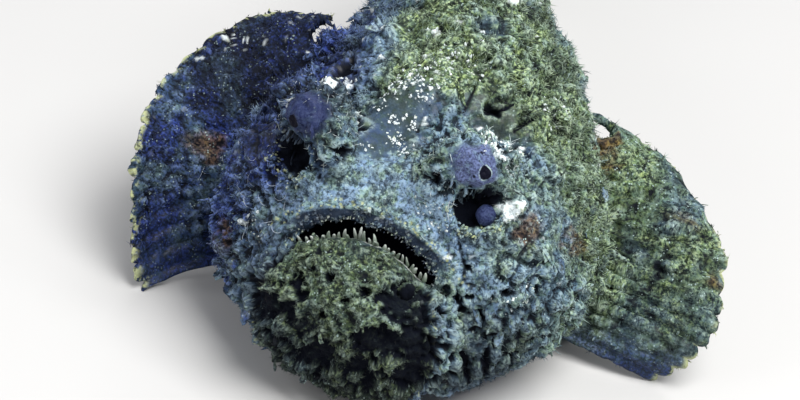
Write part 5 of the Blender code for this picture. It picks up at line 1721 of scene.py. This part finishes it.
class STONEFISH_OT_coat(bpy.types.Operator):
    """Grow the mossy turf, the pale threads and the leaf-like flaps"""

    bl_idname = "stonefish.coat"
    bl_label = "Mossy coat"

    def execute(self, context):
        scene = context.scene
        sizes = scene.stonefish_sizes
        skin = scene.objects["skin"]
        finish = material_of("stonefish coat", coat_finish, scene.stonefish_colours)
        draw = np.random.default_rng(5)

        def turf(points, values):
            clumps = smooth_step(layered(points, 0.006, 51), -0.25, 0.35)
            clear = (1 - 0.93 * values["dark"]) * (1 - 0.97 * values["bare"]) * smooth_step(points[:, 2], 0.002, 0.010)
            clear *= 1 - smooth_step(values["dark"], 0.985, 1.0)
            clear *= (0.1 + smooth_step(values["cavity"], -0.5, 0.1)) * (1 - values["margin"])
            front = 1 + 1.2 * (points[:, 1] < FRONT_Y + 0.12)
            return (0.05 + values["turf"]) * (0.15 + clumps) * clear * front + 1e-9

        def edges(points, values):
            knobs = smooth_step(values["height"], 0.2, 1.6)
            clear = (1 - 0.97 * values["bare"]) * (1 - values["dark"]) * smooth_step(points[:, 2], 0.004, 0.012)
            clear *= (1 - values["margin"]) * (1 - smooth_step(values["lip"] + values["strip"], 0.0, 0.3))
            return clear * (0.15 + knobs) * (1 - 0.85 * values["calm"]) + 1e-9

        def round_pits(points, values, low):
            """Along the rims of the pits: their lower halves, or with low -1 their upper ones."""
            weight = np.full(len(points), 1e-9)
            for side in (1, -1):
                from_pit = points - np.array(PIT_CENTRE) * (side, 1, 1)
                away = np.linalg.norm(from_pit, axis=1)
                rim = bump_at(away / pit_reach(side, from_pit / away[:, None]), 1.10, 0.12)
                weight += rim * (0.06 + smooth_step(-low * from_pit[:, 2], -0.001, 0.004))
            shown = smooth_step(values["dark"], 0.75, 0.35) if low > 0 else smooth_step(values["dark"], 0.05, 0.4)
            return weight * shown + 1e-9

        def frosty(points, values):
            return (values["frost"] ** 1.5 + 0.5 * values["pale"]) * (1 - values["dark"]) + 1e-9

        def round_eyes(points, values):
            weight = np.full(len(points), 1e-9)
            for side in (1, -1):
                away = np.linalg.norm(points - np.array(EYE_CENTRE) * (side, 1, 1), axis=1)
                weight += bump_at(away, 0.0125, 0.0040)
            return weight * (1 - values["dark"])

        for n in range(sizes.turf_pieces):
            name = f"turf_{n + 1}"
            piece = grow_moss(skin, name, sizes.tufts, sizes.blades, sizes.turf_length, draw, turf)
            dressed(piece, finish, "warty_skin")
        dressed(grow_flaps(skin, "flaps", sizes.flaps, sizes.flap_length, draw, edges), finish, "warty_skin")
        dressed(grow_crumbs(skin, "pale_crumbs", sizes.crumbs, 0.0007, draw, frosty), finish, "warty_skin")
        knobs = grow_crumbs(skin, "lip_knobs", 260, 0.0010, draw, lambda p, v: v["lip"] ** 2 + 1e-9, 0.0)
        dressed(knobs, finish, "warty_skin")
        for name, count, low, longest in (("pit_rim_flaps", 170, 1, 0.0015), ("pit_drips", 60, -1, 0.0034)):
            place, normal, found = scatter(skin, lambda p, v: round_pits(p, v, low), count, draw)
            size = draw.uniform(0.35, 1.0, count) * longest
            found["edge"] = draw.uniform(0.3, 1.0, count) if low > 0 else np.zeros(count)
            # The drips over the pits carry painted shadow; the rim flaps none
            found["dark"] = np.zeros(count) if low > 0 else draw.uniform(0.45, 0.95, count)
            found["shade"] = np.zeros(count)
            towards = normal * 0.4 + draw.normal(size=place.shape) * 0.35 + (0, -0.25, 0.25 if low > 0 else -1.1)
            made = sprouts(name, place, towards, size, size * (0.40 if low > 0 else 0.16),
                           draw.normal(size=place.shape) * 0.2, LOBE, 6, 0.5, draw, {"place": place, **found}, normal,
                           0.15, True)
            dressed(made, finish, "warty_skin")
        place, normal, found = scatter(skin, round_eyes, sizes.threads, draw)
        size = draw.uniform(0.0010, 0.0026, len(place))
        towards = normal * 0.45 + draw.normal(size=normal.shape) * 0.5 + (0, 0, -0.15)
        bend = draw.normal(size=normal.shape) * 0.25 - normal * 0.2
        found["pale"] = np.maximum(found["pale"], 0.55)
        threads = sprouts("eye_threads", place, towards, size, np.full(len(place), 0.00011), bend, THREAD, 3, 1.0, draw,
                          {"place": place, **found})
        dressed(threads, finish, "warty_skin")
        tree = skin_tree(skin)
        place, normal = (np.array(found) for found in zip(*[seen(tree, (x, y)) for x, y, _, _ in FLAP_PIXELS]))
        long, wide = np.array(FLAP_PIXELS)[:, 2:].T
        values = {name: np.zeros(len(place)) for name in MARKINGS} | {"edge": np.full(len(place), 0.12)}
        # The hanging flaps get painted shade towards their roots, a little painted light, and more painted blue shade
        # on the fish's right side
        values |= {"place": place, "cavity": np.full(len(place), -0.16), "luck": np.full(len(place), 0.5)}
        values |= {"violet": np.where(place[:, 0] < 0, 0.8, 0.2), "turf": np.full(len(place), 0.9)}
        values |= {"gold": np.full(len(place), 0.20), "bright": np.full(len(place), 0.15)}
        hanging = sprouts("hanging_flaps", place, normal * 0.5 + (0, -0.15, -0.85), long, wide,
                          draw.normal(size=place.shape) * 0.15, TONGUE, 12, 0.24, draw, values, normal, 0.10, True)
        dressed(hanging, finish, "warty_skin")
        for name in list(scene.objects.keys()):
            if "_fin_skin" in name:
                fringe(scene.objects[name], finish, draw)
        return {"FINISHED"}


def fringe(fin, finish, draw):
    """Tufts and small flaps along the edge and over the faces of a fin."""

    def rim(points, values):
        return (0.06 + values["edge"]) * smooth_step(points[:, 2], 0.001, 0.004) + 1e-9

    points, _, _ = arrays(fin)
    reach = np.ptp(points, axis=0).max()
    count = int(9000 * reach)
    turf = grow_moss(fin, fin.name.replace("skin", "turf"), count, 4, 0.0011, draw,
                     lambda p, v: (0.25 + v["turf"]) * smooth_step(p[:, 2], 0.001, 0.004) + 1e-9)
    dressed(turf, finish, "fin_skin")
    dressed(grow_flaps(fin, fin.name.replace("skin", "flaps"), count // 8, 0.0028, draw, rim), finish, "fin_skin")


class STONEFISH_OT_stage(bpy.types.Operator):
    """Set up the pale floor, the soft lights and the camera"""

    bl_idname = "stonefish.stage"
    bl_label = "Stage"

    def execute(self, context):
        scene = context.scene
        stage = scene.stonefish_stage
        half = stage.floor_width / 2
        corners = [(-half, -half, 0), (half, -half, 0), (half, half, 0), (-half, half, 0)]
        floor = built("floor", corners, [(0, 1, 2), (0, 2, 3)])
        floor.data.materials.append(floor_finish(scene.stonefish_colours.floor))
        floor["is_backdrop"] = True
        for name, power, size, place in (
            ("key light", stage.key_power, 0.9, (0.55, -0.35, 1.15)),
            ("fill light", stage.fill_power, 1.0, (-0.95, -0.75, 0.65)),
            ("back light", stage.fill_power, 0.8, (-0.2, 1.1, 0.9)),
        ):
            lamp = bpy.data.lights.new(name, "AREA")
            lamp.energy, lamp.size = power, size
            light = bpy.data.objects.new(name, lamp)
            light.location = place
            light.rotation_euler = (Vector((0, -0.05, 0.04)) - Vector(place)).to_track_quat("-Z", "Y").to_euler()
            scene.collection.objects.link(light)
        world = bpy.data.worlds.new("studio")
        world.use_nodes = True
        sky = world.node_tree.nodes["Background"]
        sky.inputs["Color"].default_value = (0.86, 0.90, 1.0, 1.0)
        sky.inputs["Strength"].default_value = 0.27
        scene.world = world
        scene.view_settings.view_transform = "Standard"
        stand, right, up, forward = camera_axes()
        lens = bpy.data.cameras.new("photo camera")
        lens.sensor_width = SENSOR
        lens.lens = SENSOR * CAMERA_AWAY / (PHOTO_WIDTH * METRES_PER_PIXEL)
        lens.clip_start = 0.01
        camera = bpy.data.objects.new("photo camera", lens)
        camera.matrix_world = Matrix.Translation(stand) @ Matrix((right, up, -forward)).transposed().to_4x4()
        scene.collection.objects.link(camera)
        scene.camera = camera
        return {"FINISHED"}


OPERATORS = (STONEFISH_OT_skin, STONEFISH_OT_fins, STONEFISH_OT_eyes, STONEFISH_OT_lips, STONEFISH_OT_veins,
             STONEFISH_OT_coat, STONEFISH_OT_stage)


class STONEFISH_PT_sidebar(bpy.types.Panel):
    """Steps that build the fish, in order"""

    bl_idname = "STONEFISH_PT_sidebar"
    bl_label = "Reef stonefish"
    bl_space_type = "VIEW_3D"
    bl_region_type = "UI"
    bl_category = "Stonefish"

    def draw(self, context):
        for group in (context.scene.stonefish_sizes, context.scene.stonefish_colours, context.scene.stonefish_stage):
            box = self.layout.box()
            for name in group.__annotations__:
                box.prop(group, name)
        for operator in OPERATORS:
            self.layout.operator(operator.bl_idname)


GROUPS = {"stonefish_sizes": StonefishSizes, "stonefish_colours": StonefishColours, "stonefish_stage": StonefishStage}


def register():
    for kind in (*GROUPS.values(), *OPERATORS, STONEFISH_PT_sidebar):
        bpy.utils.register_class(kind)
    for name, kind in GROUPS.items():
        setattr(bpy.types.Scene, name, PointerProperty(type=kind))


def unregister():
    for name in GROUPS:
        delattr(bpy.types.Scene, name)
    for kind in (STONEFISH_PT_sidebar, *reversed(OPERATORS), *GROUPS.values()):
        bpy.utils.unregister_class(kind)


def main():
    register()
    bpy.ops.stonefish.skin()
    bpy.ops.stonefish.fins()
    bpy.ops.stonefish.eyes()
    bpy.ops.stonefish.lips()
    bpy.ops.stonefish.veins()
    bpy.ops.stonefish.coat()
    bpy.ops.stonefish.stage()
    low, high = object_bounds()
    {"cad": [list(CAD_LOW), list(CAD_HIGH)], "visual": [list(low), list(high)]}


if __name__ == "__main__":
    main()
